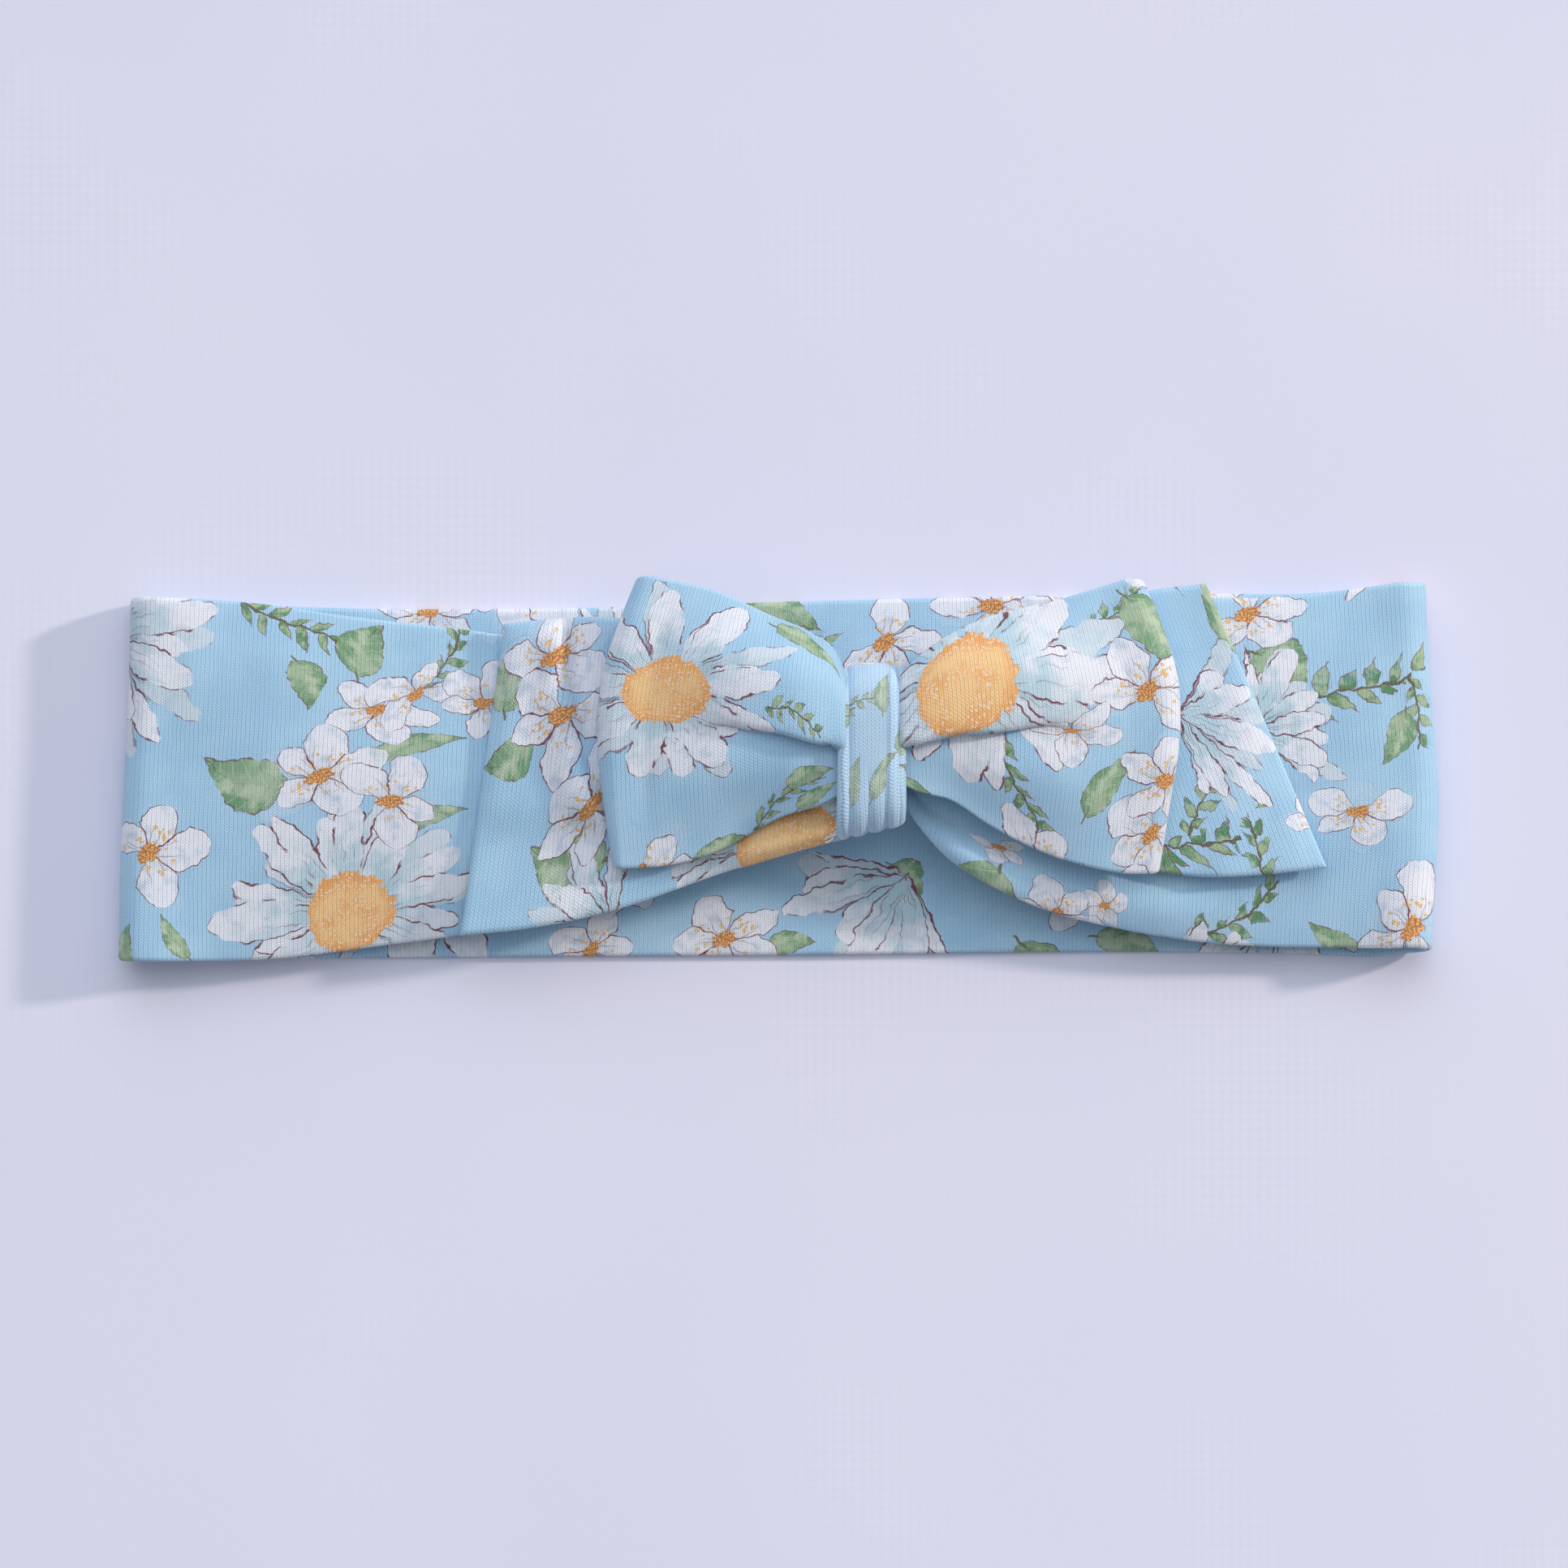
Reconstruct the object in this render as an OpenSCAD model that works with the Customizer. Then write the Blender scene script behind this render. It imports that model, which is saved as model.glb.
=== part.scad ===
// Knotted headband of printed jersey, lying flat. A closed tube band has a plain back layer and
// a front layer that is gathered through a wrapped knot, which also holds a bow of two loops
// over two slanted tails. +X runs along the band, +Y across it and +Z up, and the underside of
// the back layer is at Z = 0. All sizes are in millimetres.

/* [Band] */
// Length of the closed band lying flat, which is half of its circumference
band_l = 190; // [180:1:210]
// Width over the band's two widest corners
band_w = 55.2; // [50:0.2:60]
// Thickness of one layer of the flattened tube, two plies of jersey and the air between them
cloth_t = 1.6; // [1.2:0.1:1.7]
// Gap for the head between the back layer and the front layer
head_gap = 4.9; // [4.6:0.1:5.2]
// Slant of the folds at the band's two ends, in degrees
end_tilt = 2; // [0:0.5:3]

/* [Knot] */
// Place of the knot's middle along the band, from the band's middle
knot_x = 13.4; // [0:0.2:16]
// Width of the knot wrap along the band
knot_w = 10; // [9:0.5:12]
// Length of the knot wrap across the band
knot_l = 25; // [23:0.5:27]
// Thickness of the wrap's folded cloth
wrap_t = 1.7; // [1.4:0.1:1.9]
// Gap between the back layer and the underside of the knot
knot_clear = 4.7; // [4.6:0.1:5.5]

/* [Bow] */
// Reach of the left loop from the knot
left_loop_reach = 34.3; // [28:0.1:36]
// Reach of the right loop from the knot
right_loop_reach = 39.4; // [30:0.1:42]
// Reach of the left tail from the knot
left_tail_reach = 54; // [46:0.5:58]
// Reach of the right tail from the knot
right_tail_reach = 60; // [50:0.5:64]
// Height of the loops' outer folds above the surface that the band lies on
loop_top = 19.6; // [19:0.1:20]
// Radius of a loop's rounded root, where it turns at the knot
root_r = 2.9; // [2.7:0.1:3]

/* [Thread] */
// Diameter of the sewing thread
thread_d = 0.34; // [0.3:0.02:0.4]
// Number of turns of the gathering thread inside the knot
thread_turns = 4; // [2:1:4]
// Number of stitches that close the wrap under the knot
closing_stitches = 6; // [4:1:8]

/* [Hidden] */
$fn = 48;
LEFT = -1;
RIGHT = 1;

half_l = band_l / 2;
half_w = band_w / 2;
fold_r = cloth_t + head_gap / 2;
band_top = 2 * cloth_t + head_gap;
play = 0.3;                  // air between cloths that move apart
seam_w = 1.2;                // width of the long seam's line of stitches
seam_h = 0.12;               // how far the long seam stands out of the cloth
seam_end = 8;                // distance of the long seam's ends from the folds and the knot
lift = 20;                   // depth that an outline is cut through, past both faces
tall = 60;

// Heights of the layers inside the knot, from the wrap's underside to its top.
wrap_z0 = cloth_t + knot_clear;
gather_z0 = wrap_z0 + wrap_t + thread_d + 0.15;
gather_t = 2.6;
gather_z1 = gather_z0 + gather_t;
climb_l = 28;                // length over which the layers climb to the knot
pivot_out = root_r + 0.5;    // the hinge line's distance from the knot
pivot_z = gather_z1 + play + cloth_t + play + root_r;
core_z1 = pivot_z + root_r - 0.2;
wrap_z1 = core_z1 + thread_d + 0.15 + wrap_t;
knot_y = 2.8;                // middle of the knot across the band
knot_slant = 2.4;            // how much shorter the knot is at its right rim
knot_r = 5;                  // radius of the wrap's outer corners

// Edges of the layers, as [fraction of the way from the knot to the end fold, fraction of half
// of the band's width].
front_left_top = [[0, 0.35], [0.19, 0.56], [0.51, 0.72], [0.71, 0.80], [0.83, 0.86], [1, 0.91]];
front_left_low = [[0, -0.1], [0.13, -0.43], [0.34, -0.70], [0.55, -0.86], [0.82, -0.98], [1, -1]];
front_right_top = [[0, 0.35], [0.3, 0.68], [0.6, 0.88], [0.82, 0.92], [1, 1]];
front_right_low = [[0, -0.1], [0.1, -0.42], [0.22, -0.59], [0.42, -0.73], [0.82, -0.91], [1, -0.93]];
back_top = [[-1, 0.91], [-0.8, 0.86], [-0.33, 0.85], [0.36, 0.91], [0.85, 0.92], [1, 1]];
back_low = [[-1, -1], [-0.3, -0.97], [0.55, -0.95], [0.9, -0.96], [1, -0.93]];

// Outlines of the tails, as [fraction of the reach, Y in millimetres].
left_tail_top = [[0, 8], [0.3, 17], [0.55, 21.5], [0.87, 21]];
left_tail_low = [[0, -9.8], [0.27, -14.8], [0.59, -20.4], [1, -23.5]];
right_tail_top = [[0, 9], [0.35, 21], [0.58, 25.7], [0.71, 26.6]];
right_tail_low = [[0, -4], [0.3, -12], [0.53, -15.4], [0.7, -15.6], [1, -14]];

// Y of a loop's edges: [at the knot, at the outer fold].
left_loop_top_y = [14.2, half_w];
left_loop_low_y = [-3.4, -14.1];
right_loop_top_y = [14.2, half_w - 0.1];
right_loop_low_y = [-2, -14.8];

function mix(a, b, t) = a + (b - a) * t;
function smooth01(t) = let (c = min(1, max(0, t))) c * c * (3 - 2 * c);
function flip(points) = [for (i = [len(points) - 1:-1:0]) points[i]];

// A smooth curve through every point, with a few steps between each two of them.
function curve(p, steps = 5) = [
    for (i = [0:len(p) - 2], k = [0:steps - 1])
        let (
            a = p[max(i - 1, 0)], b = p[i], c = p[i + 1], d = p[min(i + 2, len(p) - 1)],
            t = k / steps
        )
        b + t / 2 * ((c - a) + t * ((2 * a - 5 * b + 4 * c - d) + t * (3 * b - a - 3 * c + d))),
    p[len(p) - 1]
];

// X of the line where a layer meets the end fold, at height y across the band.
function end_x(side, y) = let (base = side == LEFT ? -1 : -0.93)
    side * (half_l - fold_r - (y - base * half_w) * tan(end_tilt));
function rim_x(side) = knot_x + side * knot_w / 2;

// How far a layer has climbed towards its height in the knot, at distance d from the rim.
function climb(d) = smooth01(1 - d / climb_l);
function front_under(d) = mix(cloth_t + head_gap, gather_z0, climb(d));
function front_over(d) = mix(band_top, gather_z1, climb(d));
function tail_under(d) = front_over(d) + play;
function loop_under(d) = tail_under(d) + cloth_t + play;

// An XZ section drawn right across the band and cut to an XY outline.
module sheet(section, outline) {
    intersection() {
        translate([0, tall, 0]) rotate([90, 0, 0]) linear_extrude(2 * tall) polygon(section);
        translate([0, 0, -lift]) linear_extrude(3 * lift) polygon(outline);
    }
}

// A shell between two sets of rings, which have the same number of points in each ring.
module ring_shell(outer, inner) {
    slices = len(outer);
    m = len(outer[0]);
    function o(i, j) = i * m + j % m;
    function n(i, j) = slices * m + i * m + j % m;
    polyhedron(
        points = concat([for (ring = outer, p = ring) p], [for (ring = inner, p = ring) p]),
        faces = concat(
            [for (i = [0:slices - 2], j = [0:m - 1]) [o(i, j), o(i, j + 1), o(i + 1, j + 1)]],
            [for (i = [0:slices - 2], j = [0:m - 1]) [o(i, j), o(i + 1, j + 1), o(i + 1, j)]],
            [for (i = [0:slices - 2], j = [0:m - 1]) [n(i, j), n(i + 1, j + 1), n(i, j + 1)]],
            [for (i = [0:slices - 2], j = [0:m - 1]) [n(i, j), n(i + 1, j), n(i + 1, j + 1)]],
            [for (j = [0:m - 1]) [o(0, j), n(0, j + 1), o(0, j + 1)]],
            [for (j = [0:m - 1]) [o(0, j), n(0, j), n(0, j + 1)]],
            [for (j = [0:m - 1]) [o(slices - 1, j), o(slices - 1, j + 1), n(slices - 1, j + 1)]],
            [for (j = [0:m - 1]) [o(slices - 1, j), n(slices - 1, j + 1), n(slices - 1, j)]]
        )
    );
}

// Places its children at one side of the knot, with their +X pointing away from it.
module beside_knot(side) {
    translate([rim_x(side), 0, 0]) mirror([side == LEFT ? 1 : 0, 0, 0]) children();
}

// Band.
module back_panel() {
    function edge(points) = [for (p = curve(points))
        let (y = p.y * half_w, side = p.x < 0 ? LEFT : RIGHT)
        [abs(p.x) * end_x(side, y), y]];
    color("SkyBlue")
        linear_extrude(cloth_t) polygon(concat(edge(back_low), flip(edge(back_top))));
}

module end_fold(side, y0, y1) {
    color("LightSkyBlue")
        translate([end_x(side, y0), y0, fold_r]) rotate([0, 0, side * end_tilt])
            translate([0, (y1 - y0) / cos(end_tilt), 0]) rotate([90, 0, 0])
                linear_extrude((y1 - y0) / cos(end_tilt)) intersection() {
                    difference() {
                        circle(fold_r);
                        circle(fold_r - cloth_t);
                    }
                    translate([side == LEFT ? -2 * fold_r : 0, -fold_r]) square(2 * fold_r);
                }
}
module left_end_fold() end_fold(LEFT, -half_w, 0.91 * half_w);
module right_end_fold() end_fold(RIGHT, -0.93 * half_w, half_w - fold_r * sin(end_tilt));

// Distances from the rim at which a layer's section is drawn, ending at d1.
function stations(d0, d1) = concat([d0, 0], [for (i = [1:10]) i * climb_l / 10], [d1]);
function side_section(side, d0, d1, under, over) = [
    for (d = stations(d0, d1)) [rim_x(side) + side * d, under(d)],
    for (d = flip(stations(d0, d1))) [rim_x(side) + side * d, over(d)]
];

module front_panel(side, top, low) {
    skin = 0.1;              // air between the panel and the end fold, which moves apart from it
    function edge(points) = [for (p = curve(points)) let (y = p.y * half_w)
        [mix(rim_x(side), end_x(side, y) - side * skin, p.x), y]];
    function core(points) = [knot_x + side * 0.05, points[0].y * half_w];
    color("LightSkyBlue") sheet(
        side_section(side, -knot_w / 2, band_l, function (d) front_under(d),
            function (d) front_over(d)),
        concat([core(low)], edge(low), flip(edge(top)), [core(top)])
    );
}
module front_panel_left() front_panel(LEFT, front_left_top, front_left_low);
module front_panel_right() front_panel(RIGHT, front_right_top, front_right_low);

module long_seam_back() {
    color("AliceBlue")
        translate([-half_l + fold_r + seam_end, -seam_w / 2, cloth_t])
            cube([band_l - 2 * (fold_r + seam_end), seam_w, seam_h]);
}

module long_seam_front() {
    color("AliceBlue") for (side = [LEFT, RIGHT]) {
        run = half_l - fold_r - seam_end - side * rim_x(side);
        sheet(
            side_section(side, seam_end, run, function (d) front_under(d) - seam_h,
                function (d) front_under(d)),
            [for (c = [[seam_end, -1], [run, -1], [run, 1], [seam_end, 1]])
                [rim_x(side) + side * c.x, c.y * seam_w / 2]]
        );
    }
}

// Knot.

// A loop in the YZ plane with rounded corners, with the same number of points at any size.
function wrap_loop(x, y0, y1, z0, z1, r, steps = 6) = [
    for (corner = [[1, 1], [-1, 1], [-1, -1], [1, -1]], k = [0:steps])
        let (
            base = corner == [1, 1] ? 0 : corner == [-1, 1] ? 90 : corner == [-1, -1] ? 180 : 270,
            a = base + 90 * k / steps,
            cy = corner.x > 0 ? y1 - r : y0 + r,
            cz = corner.y > 0 ? z1 - r : z0 + r
        )
        [x, cy + r * cos(a), cz + r * sin(a)]
];
function knot_low(x) = knot_y - knot_l / 2 + knot_slant * (x - rim_x(LEFT)) / knot_w;
function knot_high(x) = knot_y + knot_l / 2 - 1.2 * pow((x - knot_x) / (knot_w / 2), 2);

module knot_wrap() {
    slices = 20;
    ribs = 4;
    rib_h = 0.18;
    // The rims are rounded over and shallow ribs run round the knot.
    function crown(t) = 0.9 * pow(abs(2 * t - 1), 4) + rib_h * (1 - cos(360 * ribs * t)) / 2;
    xs = [for (i = [0:slices]) mix(rim_x(LEFT), rim_x(RIGHT), i / slices)];
    outer = [for (i = [0:slices]) let (x = xs[i], c = crown(i / slices))
        wrap_loop(x, knot_low(x) + c, knot_high(x) - c, wrap_z0, wrap_z1 - c, knot_r)];
    inner = [for (x = xs)
        wrap_loop(x, knot_low(x) + wrap_t, knot_high(x) - wrap_t, wrap_z0 + wrap_t,
            wrap_z1 - wrap_t, knot_r - wrap_t)];
    color("PaleTurquoise") ring_shell(outer, inner);
}

module bow_core() {
    margin = 0.2;
    y0 = knot_low(rim_x(RIGHT)) + wrap_t + thread_d + margin;
    y1 = knot_high(rim_x(RIGHT)) - wrap_t - thread_d - margin;
    color("SteelBlue")
        translate([rim_x(LEFT) + margin, 0, 0]) rotate([90, 0, 90])
            linear_extrude(knot_w - 2 * margin) polygon([
                for (p = wrap_loop(0, y0, y1, gather_z1 + 0.05, core_z1, 2.8)) [p.y, p.z]
            ]);
}

// The gathers' two ends meet under the knot and are sewn to each other on their underside.
module band_join_stitches() {
    stitches = 6;
    stitch_l = 2.4;
    y0 = -0.08 * half_w;
    y1 = 0.32 * half_w;
    color("AliceBlue") for (i = [0:stitches - 1])
        translate([knot_x - stitch_l / 2, mix(y0, y1, i / (stitches - 1)),
            gather_z0 - thread_d / 2 - 0.02])
            rotate([0, 90, 0]) cylinder(d = thread_d, h = stitch_l, $fn = 16);
}

// Turns of thread round the gathers and the bow's core, two on each side of the join.
module gathering_thread() {
    margin = 0.05;
    y0 = knot_low(rim_x(RIGHT)) + wrap_t + margin;
    y1 = knot_high(rim_x(RIGHT)) - wrap_t - margin;
    z0 = wrap_z0 + wrap_t + margin;
    z1 = wrap_z1 - wrap_t - margin;
    r = knot_r - wrap_t - margin;
    function section(inset) = [
        for (p = wrap_loop(0, y0 + inset, y1 - inset, z0 + inset, z1 - inset, r - inset))
            [p.y, p.z]
    ];
    color("AliceBlue") for (i = [0:thread_turns - 1])
        translate([knot_x + (i - (thread_turns - 1) / 2) * 2 + (i < thread_turns / 2 ? -1 : 1),
            0, 0])
            rotate([90, 0, 90]) linear_extrude(thread_d) difference() {
                polygon(section(0));
                polygon(section(thread_d));
            }
}

module knot_closing_stitches() {
    stitch_l = 2.2;
    color("AliceBlue") for (i = [0:closing_stitches - 1])
        translate([mix(rim_x(LEFT) + 1, rim_x(RIGHT) - 1, i / (closing_stitches - 1)),
            knot_y + stitch_l / 2, wrap_z0 - thread_d / 2])
            rotate([90, 0, -12]) cylinder(d = thread_d, h = stitch_l, $fn = 16);
}

module loose_thread_end() {
    bend_r = 1.6;
    color("White")
        translate([rim_x(LEFT) - 0.05, knot_low(rim_x(LEFT)) + 1.4 - bend_r, wrap_z0 + 4])
            rotate([0, 0, 90]) rotate_extrude(angle = 100, $fn = 32)
                translate([bend_r, 0]) circle(d = thread_d, $fn = 16);
}

// Bow.
module tail(side, reach, top, low) {
    function edge(points) = [for (p = curve(points))
        [rim_x(side) + side * mix(pivot_out, reach, p.x), p.y]];
    color("DeepSkyBlue") sheet(
        side_section(side, pivot_out - 1, reach + 1, function (d) tail_under(d),
            function (d) tail_under(d) + cloth_t),
        concat(edge(low), flip(edge(top)))
    );
}
module left_tail() tail(LEFT, left_tail_reach, left_tail_top, left_tail_low);
module right_tail() tail(RIGHT, right_tail_reach, right_tail_top, right_tail_low);

// Section of a loop, as points [distance from the rim, Z]: round its root, over its top, round
// the outer fold and back under it. The inset draws the inside of the cloth.
function loop_section(reach, inset) =
    let (
        under_end = loop_under(reach),
        r = (loop_top - under_end) / 2,
        fold_d = reach - r,
        crest = 0.7,
        steps = 8
    ) [
        for (a = [-90:180 / steps:90])
            [pivot_out - (root_r - inset) * cos(a), pivot_z + (root_r - inset) * sin(a)],
        for (t = [1:steps - 1])
            [mix(pivot_out, fold_d, t / steps),
                mix(pivot_z + root_r, loop_top, t / steps) + crest * sin(180 * t / steps) - inset],
        for (a = [90:-180 / steps:-90])
            [fold_d + (r - inset) * cos(a), under_end + r + (r - inset) * sin(a)],
        for (t = [1:steps - 1]) let (d = mix(fold_d, pivot_out, t / steps))
            [d, loop_under(d) + inset]
    ];

module cloth_loop(side, reach, top_y, low_y) {
    slices = 10;
    // The outer fold bows out in the middle and leans in towards the loop's top edge.
    function reach_at(v) = reach - (reach - pivot_out) * (0.11 * pow(2 * v - 1, 2)
        + 0.04 * (2 * v - 1));
    function spread(d) = sin(90 * min(1, max(0, (d - pivot_out) / (reach - pivot_out))));
    function ring(v, inset) = [for (p = loop_section(reach_at(v), inset))
        let (s = spread(p.x))
        [p.x, mix(mix(low_y[0], low_y[1], s), mix(top_y[0], top_y[1], s), v), p.y]];
    color("CornflowerBlue") beside_knot(side) ring_shell(
        [for (i = [0:slices]) ring(i / slices, 0)],
        [for (i = [0:slices]) ring(i / slices, cloth_t)]
    );
}
module left_loop() cloth_loop(LEFT, left_loop_reach, left_loop_top_y, left_loop_low_y);
module right_loop() cloth_loop(RIGHT, right_loop_reach, right_loop_top_y, right_loop_low_y);

back_panel();
left_end_fold();
right_end_fold();
long_seam_back();
front_panel_left();
front_panel_right();
long_seam_front();
band_join_stitches();
bow_core();
gathering_thread();
knot_wrap();
knot_closing_stitches();
loose_thread_end();
left_tail();
right_tail();
left_loop();
right_loop();
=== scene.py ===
import math
import random
from collections import namedtuple

import bpy
import numpy as np
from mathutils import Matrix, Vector


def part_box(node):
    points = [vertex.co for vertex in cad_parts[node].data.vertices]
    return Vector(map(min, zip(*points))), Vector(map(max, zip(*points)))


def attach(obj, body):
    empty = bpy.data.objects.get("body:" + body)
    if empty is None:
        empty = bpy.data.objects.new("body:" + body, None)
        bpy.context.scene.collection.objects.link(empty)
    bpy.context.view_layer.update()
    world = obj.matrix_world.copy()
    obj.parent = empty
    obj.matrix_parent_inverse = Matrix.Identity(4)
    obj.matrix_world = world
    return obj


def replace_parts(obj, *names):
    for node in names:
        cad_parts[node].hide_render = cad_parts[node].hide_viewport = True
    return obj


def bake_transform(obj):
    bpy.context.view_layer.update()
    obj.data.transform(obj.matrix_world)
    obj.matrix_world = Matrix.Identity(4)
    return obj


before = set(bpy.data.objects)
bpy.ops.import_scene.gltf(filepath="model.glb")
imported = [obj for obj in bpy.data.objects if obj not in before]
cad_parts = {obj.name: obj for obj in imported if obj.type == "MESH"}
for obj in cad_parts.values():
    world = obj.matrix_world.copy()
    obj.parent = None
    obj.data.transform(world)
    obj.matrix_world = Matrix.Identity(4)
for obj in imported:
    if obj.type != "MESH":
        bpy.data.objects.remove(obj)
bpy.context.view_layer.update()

# Everything below is worked out in millimetres and scaled to metres when a mesh is made.
MM = 0.001
TO_MM = 1000.0
TURN = 2 * math.pi
LEFT, RIGHT = -1, 1
SIDE = {LEFT: "left", RIGHT: "right"}
CLOTH_T = 1.4  # one flattened tube: two plies of jersey
SPAN = 26.0  # half of the band's cut width
TAIL_SPAN = 17.5  # half of a tail's width, and so on
LOOP_SPAN = 20.0
KNOT_SPAN = 6.2
CLIMB = 28.0  # length over which the layers climb to the knot
TUCKED = 1.0  # how far tails and loops run in under the knot's rim
GAP = 0.05  # air left under the back layer and inside the end folds
SUNK = 1.3  # middle of gathered cloth, below the top of its CAD node


def corners(node):
    """Lowest and highest corners of a CAD node, in millimetres."""
    low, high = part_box(node)
    return np.array(low) / MM, np.array(high) / MM


WRAP = corners("knot_wrap")
CORE = corners("bow_core")
FRONT = corners("front_panel_left")
FOLD = {LEFT: corners("left_end_fold"), RIGHT: corners("right_end_fold")}
TAIL = {LEFT: corners("left_tail"), RIGHT: corners("right_tail")}
LOOP = {LEFT: corners("left_loop"), RIGHT: corners("right_loop")}

KNOT_X = (WRAP[0][0] + WRAP[1][0]) / 2
RIM = {LEFT: WRAP[0][0], RIGHT: WRAP[1][0]}
FOLD_Z = FOLD[LEFT][1][2] / 2
FOLD_R = FOLD_Z - CLOTH_T / 2 - GAP
FRONT_Z = FOLD_Z + FOLD_R
GATHER_Z = FRONT[1][2] - SUNK
RISE = FRONT[1][2] - FOLD[LEFT][1][2]
TAIL_FOOT = TAIL[LEFT][0][2]
TAIL_HEAD = TAIL_FOOT + RISE
LOOP_FOOT = LOOP[LEFT][0][2]
LOOP_HEAD = LOOP_FOOT + RISE
ROOT_Z = CORE[1][2] - SUNK


# ---- small maths
def mix(a, b, t):
    return a + (b - a) * t


def smooth(t, low=0.0, high=1.0):
    """0 at low and 1 at high, with a soft start and end."""
    t = np.clip((t - low) / (high - low), 0, 1)
    return t * t * (3 - 2 * t)


def bell(t, width):
    """1 at 0, falling to nothing within about twice the width on either side."""
    return np.exp(-(t / width) ** 2)


def curve(*points):
    """A smooth function through given (x, y) points, constant past its ends."""
    xs, ys = np.array(sorted(points), float).T
    slope = np.gradient(ys, xs)

    def value(x):
        x = np.clip(x, xs[0], xs[-1])
        i = np.clip(np.searchsorted(xs, x, side="right") - 1, 0, len(xs) - 2)
        gap = xs[i + 1] - xs[i]
        t = (x - xs[i]) / gap
        return (
            (1 + 2 * t) * (1 - t) ** 2 * ys[i] + t * (1 - t) ** 2 * gap * slope[i]
            + t * t * (3 - 2 * t) * ys[i + 1] + t * t * (t - 1) * gap * slope[i + 1]
        )

    return value


# ---- cloth meshes
EDGE_ROWS = 5


def across(step, half):
    """Places from -1 to 1 across a strip, closer together where its folded edges turn."""
    e = CLOTH_T / 2 / half
    turn = 1 - e * (1 - np.sin(np.linspace(0, math.pi / 2, EDGE_ROWS)))
    flat = np.linspace(-1 + e, 1 - e, int(2 * half / step))
    return np.concatenate([-turn[::-1], flat[1:-1], turn])


def roundness(w, half, thickness):
    """How thick the strip is at each place across it, which falls to nothing at the edges."""
    e = thickness / 2 / half
    past = np.clip((np.abs(w) - (1 - e)) / e, 0, 1)
    return np.sqrt(1 - past**2)


def surface(rows, turned_round=False):
    """The points of a middle surface from the x, y and z of each station, and how far each
    station lies along its middle. Turned round, it starts at the last one."""
    points = np.array(rows).transpose(0, 2, 1)
    mid = points[:, points.shape[1] // 2]
    steps = np.linalg.norm(np.diff(mid, axis=0), axis=1)
    along = np.concatenate([[0], np.cumsum(steps)])
    return (points[::-1], -along[::-1]) if turned_round else (points, along)


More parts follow.
